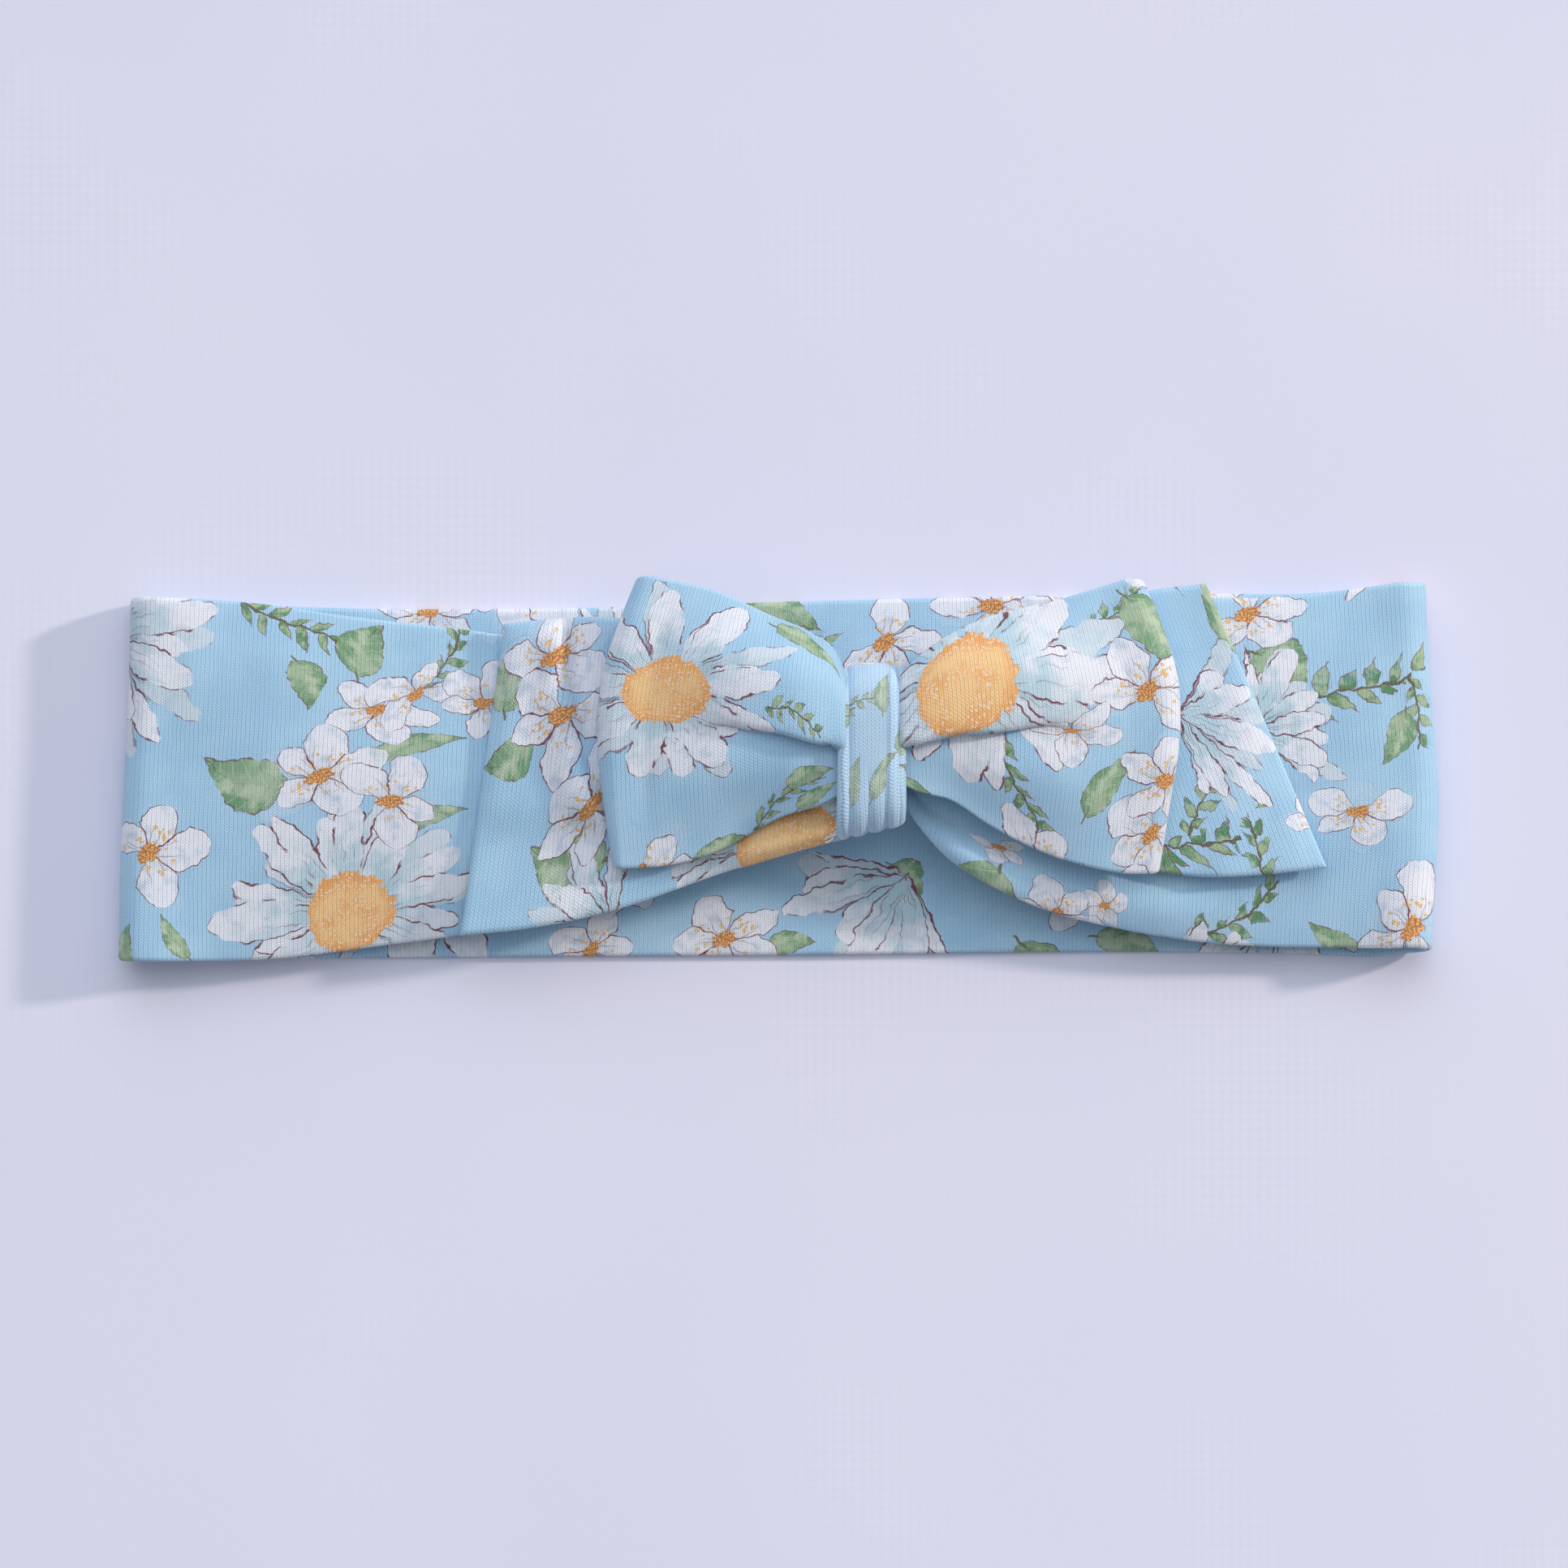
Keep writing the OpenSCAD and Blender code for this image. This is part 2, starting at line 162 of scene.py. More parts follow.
class Cloth:
    """A flattened tube of cloth round a middle surface: points has a row for each station along
    the strip and a column for each place across it. along holds the stations' places on the flat
    cloth, and thin, where given, how much of the thickness each keeps. The tube's own seam runs
    down the middle of its under side."""

    NEARNESS = 4.0  # height that a point gives up for each millimetre it lies off
    REACH = 3.0  # a place further off is outside the piece

    def __init__(self, name, points, along, w, half, thickness=CLOTH_T, thin=None):
        self.name = name
        self.grain = np.eye(2)
        n, m = points.shape[:2]
        normal = np.cross(*np.gradient(points, axis=(0, 1)))
        normal /= np.maximum(np.linalg.norm(normal, axis=2, keepdims=True), 1e-9)
        offset = roundness(w, half, thickness)[None, :, None] * thickness / 2
        if thin is not None:
            offset = offset * thin[:, None, None]
        over, under = points + normal * offset, points - normal * offset
        mid = m // 2
        self.grid = np.concatenate([under[:, mid:], over[:, -2:0:-1], under[:, :mid]], axis=1)
        reach = w * half
        t = [2 * half - reach[mid:], reach[-2:0:-1], -2 * half - reach[:mid + 1]]
        self.t = np.concatenate(t)
        self.s = along
        self.n, self.m, self.ring = n, m, self.grid.shape[1]
        self._faces(mid)

    def _faces(self, mid):
        """The tube's faces, each with its corners' places on the flat cloth, and its two ends."""
        n, r = self.n, self.ring
        i, j = np.indices((n - 1, r)).reshape(2, -1)
        s, t = self.s, self.t
        around = ((0, 0), (1, 0), (1, 1), (0, 1))
        self.quads = np.stack([(i + a) * r + (j + b) % r for a, b in around], axis=1)
        self.quad_cloth = np.stack([np.stack([s[i + a], t[j + b]], 1) for a, b in around], axis=1)
        # Each end is closed by a ladder of faces between the upper and the lower side.
        m = self.m
        top_edge = m - 1 - mid
        over = [(top_edge + q) % r for q in range(m)]
        under = [(top_edge - q) % r for q in range(m)]
        self.caps = []
        for row, way in ((0, 1), (n - 1, -1)):
            for q in range(m - 1):
                face = [over[q], over[q + 1], under[q + 1], under[q]]
                face = list(dict.fromkeys(face))[::way]
                self.caps.append(([row * r + v for v in face], s[row], [t[v] for v in face]))

    def frame_at(self, x, y):
        """Cloth coordinates of what shows at (x, y) from above, and how the cloth lies there."""
        p = self.grid
        near = np.hypot(p[..., 0] - x, p[..., 1] - y)
        score = p[..., 2] - self.NEARNESS * near
        i, j = np.unravel_index(np.argmax(score), score.shape)
        i0, i1 = max(i - 1, 0), min(i + 1, self.n - 1)
        j0, j1 = (j - 1) % self.ring, (j + 1) % self.ring
        ds = (p[i1, j] - p[i0, j]) / (self.s[i1] - self.s[i0])
        step = self.t[min(j + 1, self.ring)] - self.t[max(j - 1, 0)] or 1.0
        dt = (p[i, j1] - p[i, j0]) / step
        jac = np.array([ds[:2], dt[:2]]).T + np.eye(2) * 1e-9
        u, _, v = np.linalg.svd(jac)
        off = np.array([x, y]) - p[i, j, :2]
        inside = near[i, j] < self.REACH
        here = np.array([self.s[i], self.t[j]]) + np.linalg.pinv(jac) @ off * inside
        return here, u @ v

    def build(self, material, motifs):
        """The piece itself, with its place on the flat cloth as UVs and a layer for each motif."""
        faces = self.quads.tolist() + [face for face, _, _ in self.caps]
        mesh = bpy.data.meshes.new(self.name)
        mesh.from_pydata((self.grid.reshape(-1, 3) * MM).tolist(), [], faces)
        cap_cloth = [(s, t) for _, s, ends in self.caps for t in ends]
        cloth = np.concatenate([self.quad_cloth.reshape(-1, 2), np.array(cap_cloth)])
        counts = [len(face) for face in faces]
        uv = mesh.uv_layers.new(name="cloth")
        uv.data.foreach_set("uv", (cloth @ self.grain).astype(np.float32).ravel())
        for layer, chosen in motifs.items():
            local = local_coordinates(cloth, np.array(counts), chosen)
            attribute = mesh.attributes.new(layer, "FLOAT_VECTOR", "CORNER")
            attribute.data.foreach_set("vector", local.astype(np.float32).ravel())
        piece = put_mesh(self.name, mesh, material)
        flat = np.arange(len(faces)) >= len(self.quads)
        mesh.attributes.new("sharp_face", "BOOLEAN", "FACE").data.foreach_set("value", flat)
        mesh.validate()
        return piece


def put(name, data):
    """Puts an object with this data into the scene."""
    thing = bpy.data.objects.new(name, data)
    bpy.context.scene.collection.objects.link(thing)
    return thing


def put_mesh(name, mesh, material):
    """Puts a mesh into the scene, smooth and with its faces turned outwards."""
    mesh.materials.append(material)
    mesh.shade_smooth()
    if signed_volume(mesh) < 0:
        mesh.flip_normals()
    return put(name, mesh)


def signed_volume(mesh):
    """Above zero where the mesh's faces look outwards."""
    mesh.calc_loop_triangles()
    co = np.empty(len(mesh.vertices) * 3)
    mesh.vertices.foreach_get("co", co)
    tri = np.empty(len(mesh.loop_triangles) * 3, int)
    mesh.loop_triangles.foreach_get("vertices", tri)
    a, b, c = co.reshape(-1, 3)[tri.reshape(-1, 3)].transpose(1, 0, 2)
    return float(np.einsum("ij,ij->i", a, np.cross(b, c)).sum())


# ---- where the print's motifs lie
# The kinds of motif: the radius that each needs, the layers that it may use, the share of the
# radius that it keeps clear, and the square millimetres of cloth to each one in the scatter.
Kind = namedtuple("Kind", "radius layers clear spread")
Motif = namedtuple("Motif", "here turn radius size seed")
KINDS = {
    "daisy": Kind(20.0, 1, 0.8, 2600),
    "blossom": Kind(9.5, 3, 0.62, 380),
    "leaf": Kind(9.5, 2, 0.62, 330),
    "sprig": Kind(10.5, 1, 0.62, 900),
}
FAR = 99.0  # a coordinate outside every motif
MARGIN = 1.5  # faces this far past a motif's radius still belong to it
SEEDS = 0.9  # a motif's seed is below this, and a fan's is 1 higher
TRIES = 40  # places tried for each scattered motif


def turned(angle):
    """The matrix that takes cloth coordinates to those of a motif turned by angle."""
    return np.array([[math.cos(angle), math.sin(angle)], [-math.sin(angle), math.cos(angle)]])


def local_coordinates(cloth, counts, chosen):
    """For every face corner, its place in the nearest of the chosen motifs, and its seed."""
    starts = np.concatenate([[0], np.cumsum(counts)[:-1]])
    centre = np.add.reduceat(cloth, starts, axis=0) / counts[:, None]
    best = np.full(len(counts), np.inf)
    pick = np.full(len(counts), -1)
    for k, motif in enumerate(chosen):
        near = np.linalg.norm(centre - motif.here, axis=1) / np.max(motif.size)
        better = (near < motif.radius + MARGIN) & (near < best)
        best[better] = near[better]
        pick[better] = k
    out = np.full((len(cloth), 3), FAR)
    owner = np.repeat(pick, counts)
    for k, motif in enumerate(chosen):
        mine = owner == k
        out[mine, :2] = (cloth[mine] - motif.here) @ motif.turn.T / motif.size
        out[mine, 2] = motif.seed
    return out


def spread_motifs(parts, seed, shown):
    """Motif layers of one cloth, which may be several (piece, listed motifs) in a row: the
    listed ones, then a seeded scatter over the rest. The upper side takes no scatter at the
    stations for which shown says yes."""
    rng = random.Random(seed)
    layers = {f"{name}_{k}": [] for name, kind in KINDS.items() for k in range(kind.layers)}
    taken = []

    def add(name, here, turn, size, value):
        """Puts a motif in the layer of its kind where it overlaps the others least."""
        kind = KINDS[name]
        reach = kind.radius * np.max(size)

        def overlap(layer):
            gaps = [np.linalg.norm(m.here - here) - m.radius * np.max(m.size) for m in layer]
            return sum(max(0, reach - gap) for gap in gaps)

        layer = min((layers[f"{name}_{k}"] for k in range(kind.layers)), key=overlap)
        layer.append(Motif(here, turn, kind.radius, size, value))
        taken.append((here, reach * kind.clear))

    for piece, placed in parts:
        for name, x, y, angle, size, *fan in placed:
            here, lie = piece.frame_at(x, y)
            turn = turned(math.radians(angle)) @ lie
            add(name, here, turn, size, rng.random() * SEEDS + len(fan))
    s0, s1 = min(piece.s[0] for piece, _ in parts), max(piece.s[-1] for piece, _ in parts)
    t0, t1 = parts[0][0].t[-1], parts[0][0].t[0]
    area = (s1 - s0) * (t1 - t0)
    order = [name for name, kind in KINDS.items() for _ in range(int(area / kind.spread))]
    for name in order:
        kind = KINDS[name]
        for _ in range(TRIES):
            here = np.array([rng.uniform(s0, s1), rng.uniform(t0, t1)])
            size = rng.uniform(0.8, 1.0)
            room = kind.radius * size * kind.clear
            if shown(here[0]) and abs(here[1]) < t1 / 2:
                continue
            if all(np.linalg.norm(here - c) > r + room for c, r in taken):
                add(name, here, turned(rng.uniform(0, TURN)), size, rng.random() * SEEDS)
                break
    return layers


# ---- shader arithmetic
def srgb(code):
    """A '#rrggbb' colour as linear red, green, blue and alpha."""
    parts = [int(code[i:i + 2], 16) / 255 for i in (1, 3, 5)]
    return (*[c / 12.92 if c <= 0.04045 else ((c + 0.055) / 1.055) ** 2.4 for c in parts], 1.0)


def arithmetic(operation):
    return lambda value, *others: value.net.math(operation, value, *others)


class Value:
    """A shader socket that takes part in Python arithmetic."""

    def __init__(self, net, socket):
        self.net, self.socket = net, socket

    def __rsub__(self, other):
        return self.net.math("SUBTRACT", other, self)

    __add__ = __radd__ = arithmetic("ADD")
    __mul__ = __rmul__ = arithmetic("MULTIPLY")
    __sub__ = arithmetic("SUBTRACT")
    __truediv__ = arithmetic("DIVIDE")
    __pow__ = arithmetic("POWER")
    __mod__ = arithmetic("FLOORED_MODULO")
    __abs__ = arithmetic("ABSOLUTE")


class Net:
    """The node tree of a material or a world, written as formulas."""

    def __init__(self, owner):
        owner.use_nodes = True
        self.owner, self.tree = owner, owner.node_tree

    def set(self, socket, value):
        if isinstance(value, Value):
            self.tree.links.new(value.socket, socket)
        elif isinstance(value, tuple) and len(value) != len(socket.default_value):
            socket.default_value = value[:len(socket.default_value)]
        else:
            socket.default_value = value

    def node(self, kind, inputs=(), **properties):
        node = self.tree.nodes.new("ShaderNode" + kind)
        for key, value in properties.items():
            setattr(node, key, value)
        for key, value in dict(inputs).items():
            self.set(node.inputs[key], value)
        return node

    def value(self, kind, inputs=(), output=0, **properties):
        """One output of a new node."""
        return Value(self, self.node(kind, inputs, **properties).outputs[output])

    def math(self, operation, *values):
        return self.value("Math", dict(enumerate(values)), operation=operation)

    def least(self, a, b):
        return self.math("MINIMUM", a, b)

    def most(self, a, b):
        return self.math("MAXIMUM", a, b)

    def floor(self, a):
        return self.math("FLOOR", a)

    def root(self, a):
        return self.math("SQRT", self.most(a, 0.0))

    def length(self, x, y):
        return self.root(x * x + y * y)

    def smooth(self, value, low, high):
        """0 below low and 1 above high, or the other way round if low is above high."""
        ends = (high, low, 1.0, 0.0) if low > high else (low, high, 0.0, 1.0)
        inputs = dict(zip(("From Min", "From Max", "To Min", "To Max"), ends))
        inputs["Value"] = value
        return self.value("MapRange", inputs, interpolation_type="SMOOTHSTEP")

    def vector(self, x, y, z=0.0):
        return self.value("CombineXYZ", {0: x, 1: y, 2: z})

    def parts(self, vector):
        node = self.node("SeparateXYZ", {0: vector})
        return [Value(self, out) for out in node.outputs]

    def attribute(self, name):
        return self.parts(self.value("Attribute", output="Vector", attribute_name=name))

    def noise(self, x, y, z=0.0, scale=1.0, detail=2.0, output=0):
        inputs = {"Vector": self.vector(x, y, z), "Scale": scale, "Detail": detail}
        return self.value("TexNoise", inputs, output)

    def hash(self, value):
        return self.value("TexWhiteNoise", {"W": value}, "Value", noise_dimensions="1D")

    def cells(self, x, y, scale):
        """Distance to the nearest of randomly spread dots, and a random number for that dot."""
        inputs = {"Vector": self.vector(x, y), "Scale": scale}
        node = self.node("TexVoronoi", inputs, voronoi_dimensions="2D")
        near, colour = (Value(self, node.outputs[name]) for name in ("Distance", "Color"))
        return near, self.parts(colour)[0]

    def mix(self, factor, a, b):
        """Colour a where the factor is 0 and b where it is 1."""
        a, b = (srgb(colour) if isinstance(colour, str) else colour for colour in (a, b))
        node = self.node("Mix", data_type="RGBA")
        for socket, value in ((0, factor), (6, a), (7, b)):
            self.set(node.inputs[socket], value)
        return Value(self, node.outputs[2])

    def gain(self, colour, factor):
        return self.value("VectorMath", {0: colour, "Scale": factor}, operation="SCALE")

    def finish(self, colour, numbers, height, strength, distance):
        """The material, once its shader has a colour, plain numbers by name, and bumps."""
        bump = self.value("Bump", {"Height": height, "Strength": strength, "Distance": distance})
        for key, value in {"Base Color": colour, "Normal": bump, **numbers}.items():
            self.set(self.tree.nodes["Principled BSDF"].inputs[key], value)
        return self.owner


# ---- the painted print
INK = "#7c4450"
CUT = 9.0  # taken off an edge to leave out what lies past a limit


def petal_ring(net, r, angle, seed, count, reach, width, base, turn, lost, blunt, waist):
    """How far in from the edge of the nearest petal a point is, its place along that petal, the
    petal's random number and the distance from its midline, for a ring of petals. Petals start
    at radius base, and a share of them is lost. A petal's tip is rounder with a larger blunt, and
    waist is how wide it starts."""
    sector = TURN / count
    a = angle / sector + turn
    k = net.floor(a)
    name = (k % float(count)) + seed * 37.0
    chance, other = net.hash(name), net.hash(name + 11.3)
    u = a - k
    aside = abs(u - 0.5 - (other - 0.5) * 0.42) * sector * r
    border = net.least(u, 1.0 - u) * sector * r
    tip = reach * (chance * 0.36 + 0.66)
    along = net.most((r - base) / (tip - base), 0.0)
    shape = net.smooth(along, 0.0, 0.6) * (1.0 - waist) + waist
    shape = shape * net.root(1.0 - along ** (other * blunt * 1.5 + blunt))
    missing = net.smooth(net.hash(name + 5.7), lost, lost - 0.01) * CUT
    past = net.most(along - 1.0, 0.0) * 40.0
    edge = net.least(shape * (width * (other * 0.3 + 0.8)) - aside - missing - past, border)
    return edge, along, chance, aside


def painted(net, below, edge, fill, ink, line=0.12):
    """Lays a filled shape with a hand-inked outline over what is below it."""
    body = net.mix(net.smooth(edge, -0.06, 0.06), below, fill)
    stroke = net.smooth(abs(edge), line * 1.7, line * 0.5) * ink
    return net.mix(stroke, body, INK)


def drawn(net, layer, amount):
    """A motif's coordinates and seed, moved a little so that outlines look drawn by hand."""
    x, y, seed = net.attribute(layer)
    shift = net.parts(net.noise(x, y, seed * 11.0, scale=0.4, output=1))
    return x + (shift[0] - 0.5) * amount, y + (shift[1] - 0.5) * amount, seed


# A daisy's rings of petals, the lowest first: how many, how long, how wide and the share lost.
DAISY_RINGS = ((11, 21.5, 2.5, 0.12), (10, 20.8, 2.4, 0.1), (9, 20.2, 2.7, 0.08))


def daisy(net, below, layer):
    """Three rings of petals round a golden heart. A fan shows petals on one side, and no heart."""
    x, y, seed = drawn(net, layer, 2.2)
    fan = net.floor(seed)
    r, angle = net.length(x, y), net.math("ARCTAN2", y, x)
    wash = net.noise(x, y, seed * 7.0, scale=0.28, detail=3.0)
    grain = net.noise(r * 0.5, angle * 9.0, seed, scale=1.0, detail=3.0)
    ink = net.smooth(net.noise(x, y, seed, scale=0.3), 0.42, 0.54)
    limit = (1.15 - abs(angle)) * r + (1.0 - fan) * FAR
    for ring, (count, reach, width, lost) in enumerate(DAISY_RINGS):
        edge, along, chance, aside = petal_ring(
            net, r, angle, seed + ring * 3.1, count, reach, width, 2.0, seed * 5.0 + ring * 0.37,
            lost, 2.8, 0.38,
        )
        edge = net.least(edge, limit)
        shade = net.smooth(along + (wash - 0.5) * 1.4, 0.8, 0.15)
        fill = net.mix(shade * (0.85 if ring == 2 else 1.0), "#eceff7", "#aed0dc")
        fill = net.mix(net.smooth(grain, 0.48, 0.75) * 0.5, fill, "#bccddb")
        if ring == 0:
            fill = net.mix(0.45, fill, "#b9d2de")
        below = painted(net, below, edge, fill, ink * (0.75 if ring == 0 else 1.0))
        vein = net.smooth(abs(aside - chance * 0.9), 0.16, 0.04) * net.smooth(edge, 0.2, 0.5)
        below = net.mix(vein * net.smooth(along, 0.8, 0.2) * 0.5 * ink, below, INK)
    ragged = r + (net.noise(x, y, seed, scale=1.3, detail=3.0) - 0.5) * 2.4
    heart = net.smooth(ragged, 6.25, 6.05) * (1.0 - fan)
    colour = net.mix(net.smooth(wash, 0.35, 0.62), "#f9cf94", "#f3b877")
    colour = net.mix(net.smooth(ragged, 4.2, 6.2) * 0.6, colour, "#ea9f58")
    near, chance = net.cells(x, y, 1.9)
    speck = net.smooth(near, 0.36, 0.2) * net.smooth(chance, 0.3, 0.35)
    colour = net.mix(speck * net.smooth(wash, 0.38, 0.55) * 0.75, colour, "#fbe8d0")
    return net.mix(heart, below, colour)


def blossom(net, below, layer):
    """Five petals, with dots of pollen round a small heart."""
    x, y, seed = drawn(net, layer, 1.8)
    y = y * (net.hash(seed + 2.0) * 0.45 + 1.0)
    r, angle = net.length(x, y), net.math("ARCTAN2", y, x)
    wash = net.noise(x, y, seed * 5.0, scale=0.4, detail=3.0)
    ink = net.smooth(net.noise(x, y, seed, scale=0.6), 0.3, 0.42)
    edge, along, chance, aside = petal_ring(
        net, r, angle, seed, 5, 11.0, 4.3, 0.0, seed * 5.0, 0.1, 1.5, 0.2,
    )
    fill = net.mix(net.smooth(wash, 0.45, 0.75), "#eef0f8", "#c9d6e6")
    fill = net.mix(net.smooth(along, 0.5, 0.1) * 0.45, fill, "#b9c9d9")
    below = painted(net, below, edge, fill, ink, 0.11)
    inside = net.smooth(edge, 0.0, 0.3)
    vein = net.smooth(abs(aside - chance * 1.4 - 0.2), 0.16, 0.05) * inside
    below = net.mix(vein * net.smooth(along, 0.7, 0.35) * 0.5 * ink, below, INK)
    near, chance = net.cells(x, y, 1.05)
    ring = net.smooth(r, 1.6, 2.0) * net.smooth(r, 5.2, 4.6)
    dots = net.smooth(near, 0.34, 0.24) * ring * net.smooth(chance, 0.58, 0.62) * inside
    below = net.mix(dots, below, "#efc47a")
    below = net.mix(dots * net.smooth(near, 0.18, 0.28) * 0.4, below, "#c08a52")
    ragged = net.length(x * 0.72, y) + (net.noise(x, y, seed, scale=1.8, detail=3.0) - 0.5) * 1.8
    grain, _ = net.cells(x, y, 2.2)
    heart = net.mix(net.smooth(grain, 0.2, 0.5), "#f2b469", "#b97c4c")
    return net.mix(net.smooth(ragged, 1.5, 1.3), below, heart)


LEAF_HALF = 7.5


def leaf(net, below, layer):
    """A toothed leaf 15 mm long, bent a little, with pale side veins and a stalk."""
    x, y, seed = drawn(net, layer, 1.6)
    y = y + x * x * 0.025 - 0.6
    inside = net.least(net.most((x + LEAF_HALF) / (2 * LEAF_HALF), 0.0), 1.0)
    broad = net.math("FRACT", seed * 7.0) * 1.2 + 3.2
    shape = net.math("SINE", (inside**0.62) * math.pi) * broad
    tooth = (net.noise(x, y, seed, scale=0.9, detail=1.0) - 0.5) * 0.7
    edge = shape - abs(y) + tooth - net.smooth(abs(x), LEAF_HALF, LEAF_HALF + 0.5) * CUT
    wash = net.noise(x, y, seed * 3.0, scale=0.3, detail=4.0)
    fill = net.mix(net.smooth(wash, 0.38, 0.6), "#b9cbae", "#8fb08c")
    fill = net.mix(net.smooth(wash + y * 0.04, 0.52, 0.68) * 0.75, fill, "#699a72")
    fill = net.mix(net.smooth(y, 0.1, -0.5) * 0.25, fill, "#6f9c74")
    veins = net.math("SINE", (x - abs(y) * 1.1) * 2.4)
    fill = net.mix(net.smooth(veins, 0.85, 1.0) * 0.35, fill, "#ccdabf")
    fill = net.mix(net.smooth(abs(y), 0.18, 0.06) * 0.5 * net.smooth(wash, 0.4, 0.6), fill, "#5b5a4a")
    ink = net.smooth(net.noise(x, y, seed, scale=0.5), 0.4, 0.52) * 0.8
    below = painted(net, below, edge, fill, ink, 0.11)
    stalk = net.smooth(abs(y), 0.3, 0.18) * net.smooth(x, -9.5, -9.0) * net.smooth(x, -6.5, -7.0)
    return net.mix(stalk, below, "#7c7a5a")


SPRIG_STEP = 3.4  # from one leaf of a sprig to the next on the same side


def sprig(net, below, layer):
    """A waving stem with small leaves on both sides."""
    x, y, seed = drawn(net, layer, 2.2)
    y = y + net.math("SINE", x * 0.25 + seed * 6.0) * 1.2
    wash = net.noise(x, y, seed * 3.0, scale=0.6, detail=3.0)
    green = net.mix(net.smooth(wash, 0.42, 0.6), "#a5bd97", "#5c8f66")
    for sign, shift in ((1.0, 0.0), (-1.0, 1.7)):
        cell = net.floor((x + shift) / SPRIG_STEP + 0.5)
        chance = net.hash(cell + seed * 53.0 + shift)
        tilt = chance * 0.6 + 0.4
        u, v = x + shift - cell * SPRIG_STEP + 1.2, y * sign - 0.1
        cosine, sine = net.math("COSINE", tilt), net.math("SINE", tilt)
        along, side = u * cosine + v * sine, v * cosine - u * sine
        size = chance * 2.0 + 2.6
        part = net.least(net.most(along / size, 0.0), 1.0)
        edge = net.math("SINE", (part**0.8) * math.pi) * (chance * 0.4 + 0.55) - abs(side)
        edge = edge - net.smooth(abs(cell), 2.9, 3.1) * CUT - net.smooth(part, 0.001, 0.0) * CUT
        below = painted(net, below, edge, green, 0.75, 0.08)
    stem = net.smooth(abs(y), 0.26, 0.12) * net.smooth(abs(x + 0.6), 9.0, 8.6)
    return net.mix(stem, below, "#6d6650")


WALE, COURSE = 0.62, 0.4       # the spacing of stitch columns and of stitches along them


def knit(net, s, t):
    """Height of single jersey, whose columns of V stitches run across the strip."""
    drift = net.noise(s, t, scale=0.35, detail=1.0)
    column = (s + drift * 0.25) / WALE
    from_middle = abs(column - net.floor(column) - 0.5) * 2.0
    strand = net.math("COSINE", (t / COURSE + from_middle * 0.85) * TURN) * 0.5 + 0.5
    valley = net.smooth(from_middle, 0.7, 1.0) * 0.75 + net.smooth(from_middle, 0.22, 0.0) * 0.35
    return strand * 0.55 + 0.45 - valley


def jersey(name, pale=0.0):
    """Printed jersey; where it is stretched, its white core shows and pales the print."""
    net = Net(bpy.data.materials.new(name))
    s, t, _ = net.parts(net.value("UVMap", uv_map="cloth"))
    mottle = net.noise(s, t, scale=0.12, detail=4.0)
    colour = net.mix(net.smooth(mottle, 0.3, 0.7), "#a5ceea", "#b1d7ef")
    for kind, paint in (("sprig", sprig), ("leaf", leaf), ("daisy", daisy), ("blossom", blossom)):
        for k in range(KINDS[kind].layers):
            colour = paint(net, colour, f"{kind}_{k}")
    colour = net.mix(pale, colour, "#e3e6f0")
    stitch = knit(net, s, t)
    fibre = net.noise(s, t, scale=6.0, detail=2.0)
    colour = net.mix(net.smooth(fibre, 0.5, 0.75) * 0.22, colour, "#e4ebf5")
    # Painted shade: the colour darkens in the valleys between stitches, where shade falls, and also
    # varies at random with the fibre.
    shade = stitch * 0.3 + fibre * 0.2 + 0.71
    numbers = {
        "Roughness": 0.88, "Specular IOR Level": 0.2,
        "Sheen Weight": 0.25, "Sheen Roughness": 0.45,
    }
    return net.finish(net.gain(colour, shade), numbers, stitch + fibre * 0.5, 0.55, 0.12 * MM)


TWIST = 14000.0  # how fast the thread's plies turn, in radians to the metre


def thread():
    """Pale sewing thread, twisted of plies."""
    net = Net(bpy.data.materials.new("sewing_thread"))
    x, y, z = net.parts(net.value("TexCoord", output="Object"))
    twist = net.math("SINE", (x + y * 0.8 + z) * TWIST) * 0.5 + 0.5
    numbers = {"Roughness": 0.7, "Sheen Weight": 0.3}
    # Painted shade: the colour follows the plies' bump and is darker in the grooves between them.
    return net.finish(net.mix(twist, "#c3cede", "#eef1f7"), numbers, twist, 0.4, 0.05 * MM)


# ---- the band
FOLD_X = {
    LEFT: curve((25.1, -93.2), (11.6, -93.6), (3.4, -94.0), (-11.9, -94.7), (-27.6, -95.0)),
    RIGHT: curve(
        (27.6, 93.1), (17.5, 93.5), (5.8, 94.3), (-3.6, 95.0), (-11.9, 94.9), (-18.9, 94.5),
        (-25.4, 94.2),
    ),
}
BACK_TOP = curve(
    (-93, 25.1), (-73.8, 23.8), (-30.4, 23.4), (0, 24.3), (34, 25.1), (61, 25.5), (77.4, 25.6),
    (93, 27.5),
)
BACK_LOW = curve(
    (-95, -27.5), (-72, -27.2), (-30, -26.9), (5, -26.7), (52, -26.2), (75, -26.5), (89, -26.6),
    (94, -25.7),
)
FRONT_TOP = {
    LEFT: curve((-93.2, 25.1), (-73.8, 23.8), (-61.8, 22.1), (-42.5, 19.8), (-20, 16), (8.4, 10)),
    RIGHT: curve(
        (93.1, 27.5), (77.6, 25.4), (70.6, 24.8), (61.6, 24.5), (45, 21), (30, 17), (18.4, 10),
    ),
}
FRONT_LOW = {
    LEFT: curve(
        (-95, -27.5), (-72.1, -27.1), (-55.9, -25.1), (-45.7, -23.7), (-25, -19.3), (-8.9, -13.5),
        (8.4, -6),
    ),
    RIGHT: curve(
        (94.3, -25.4), (85.8, -25.6), (77.6, -25.5), (69, -25.3), (61.4, -24.7), (49.4, -22.8),
        (36, -19.1), (29, -15.6), (24, -12.1), (20.5, -8.2), (18, -4.5),
    ),
}


def climb(d):
    """How far a layer has climbed at d from the knot's rim: 1 at the rim and 0 at its foot."""
    return 1 - smooth(d, 0, CLIMB)


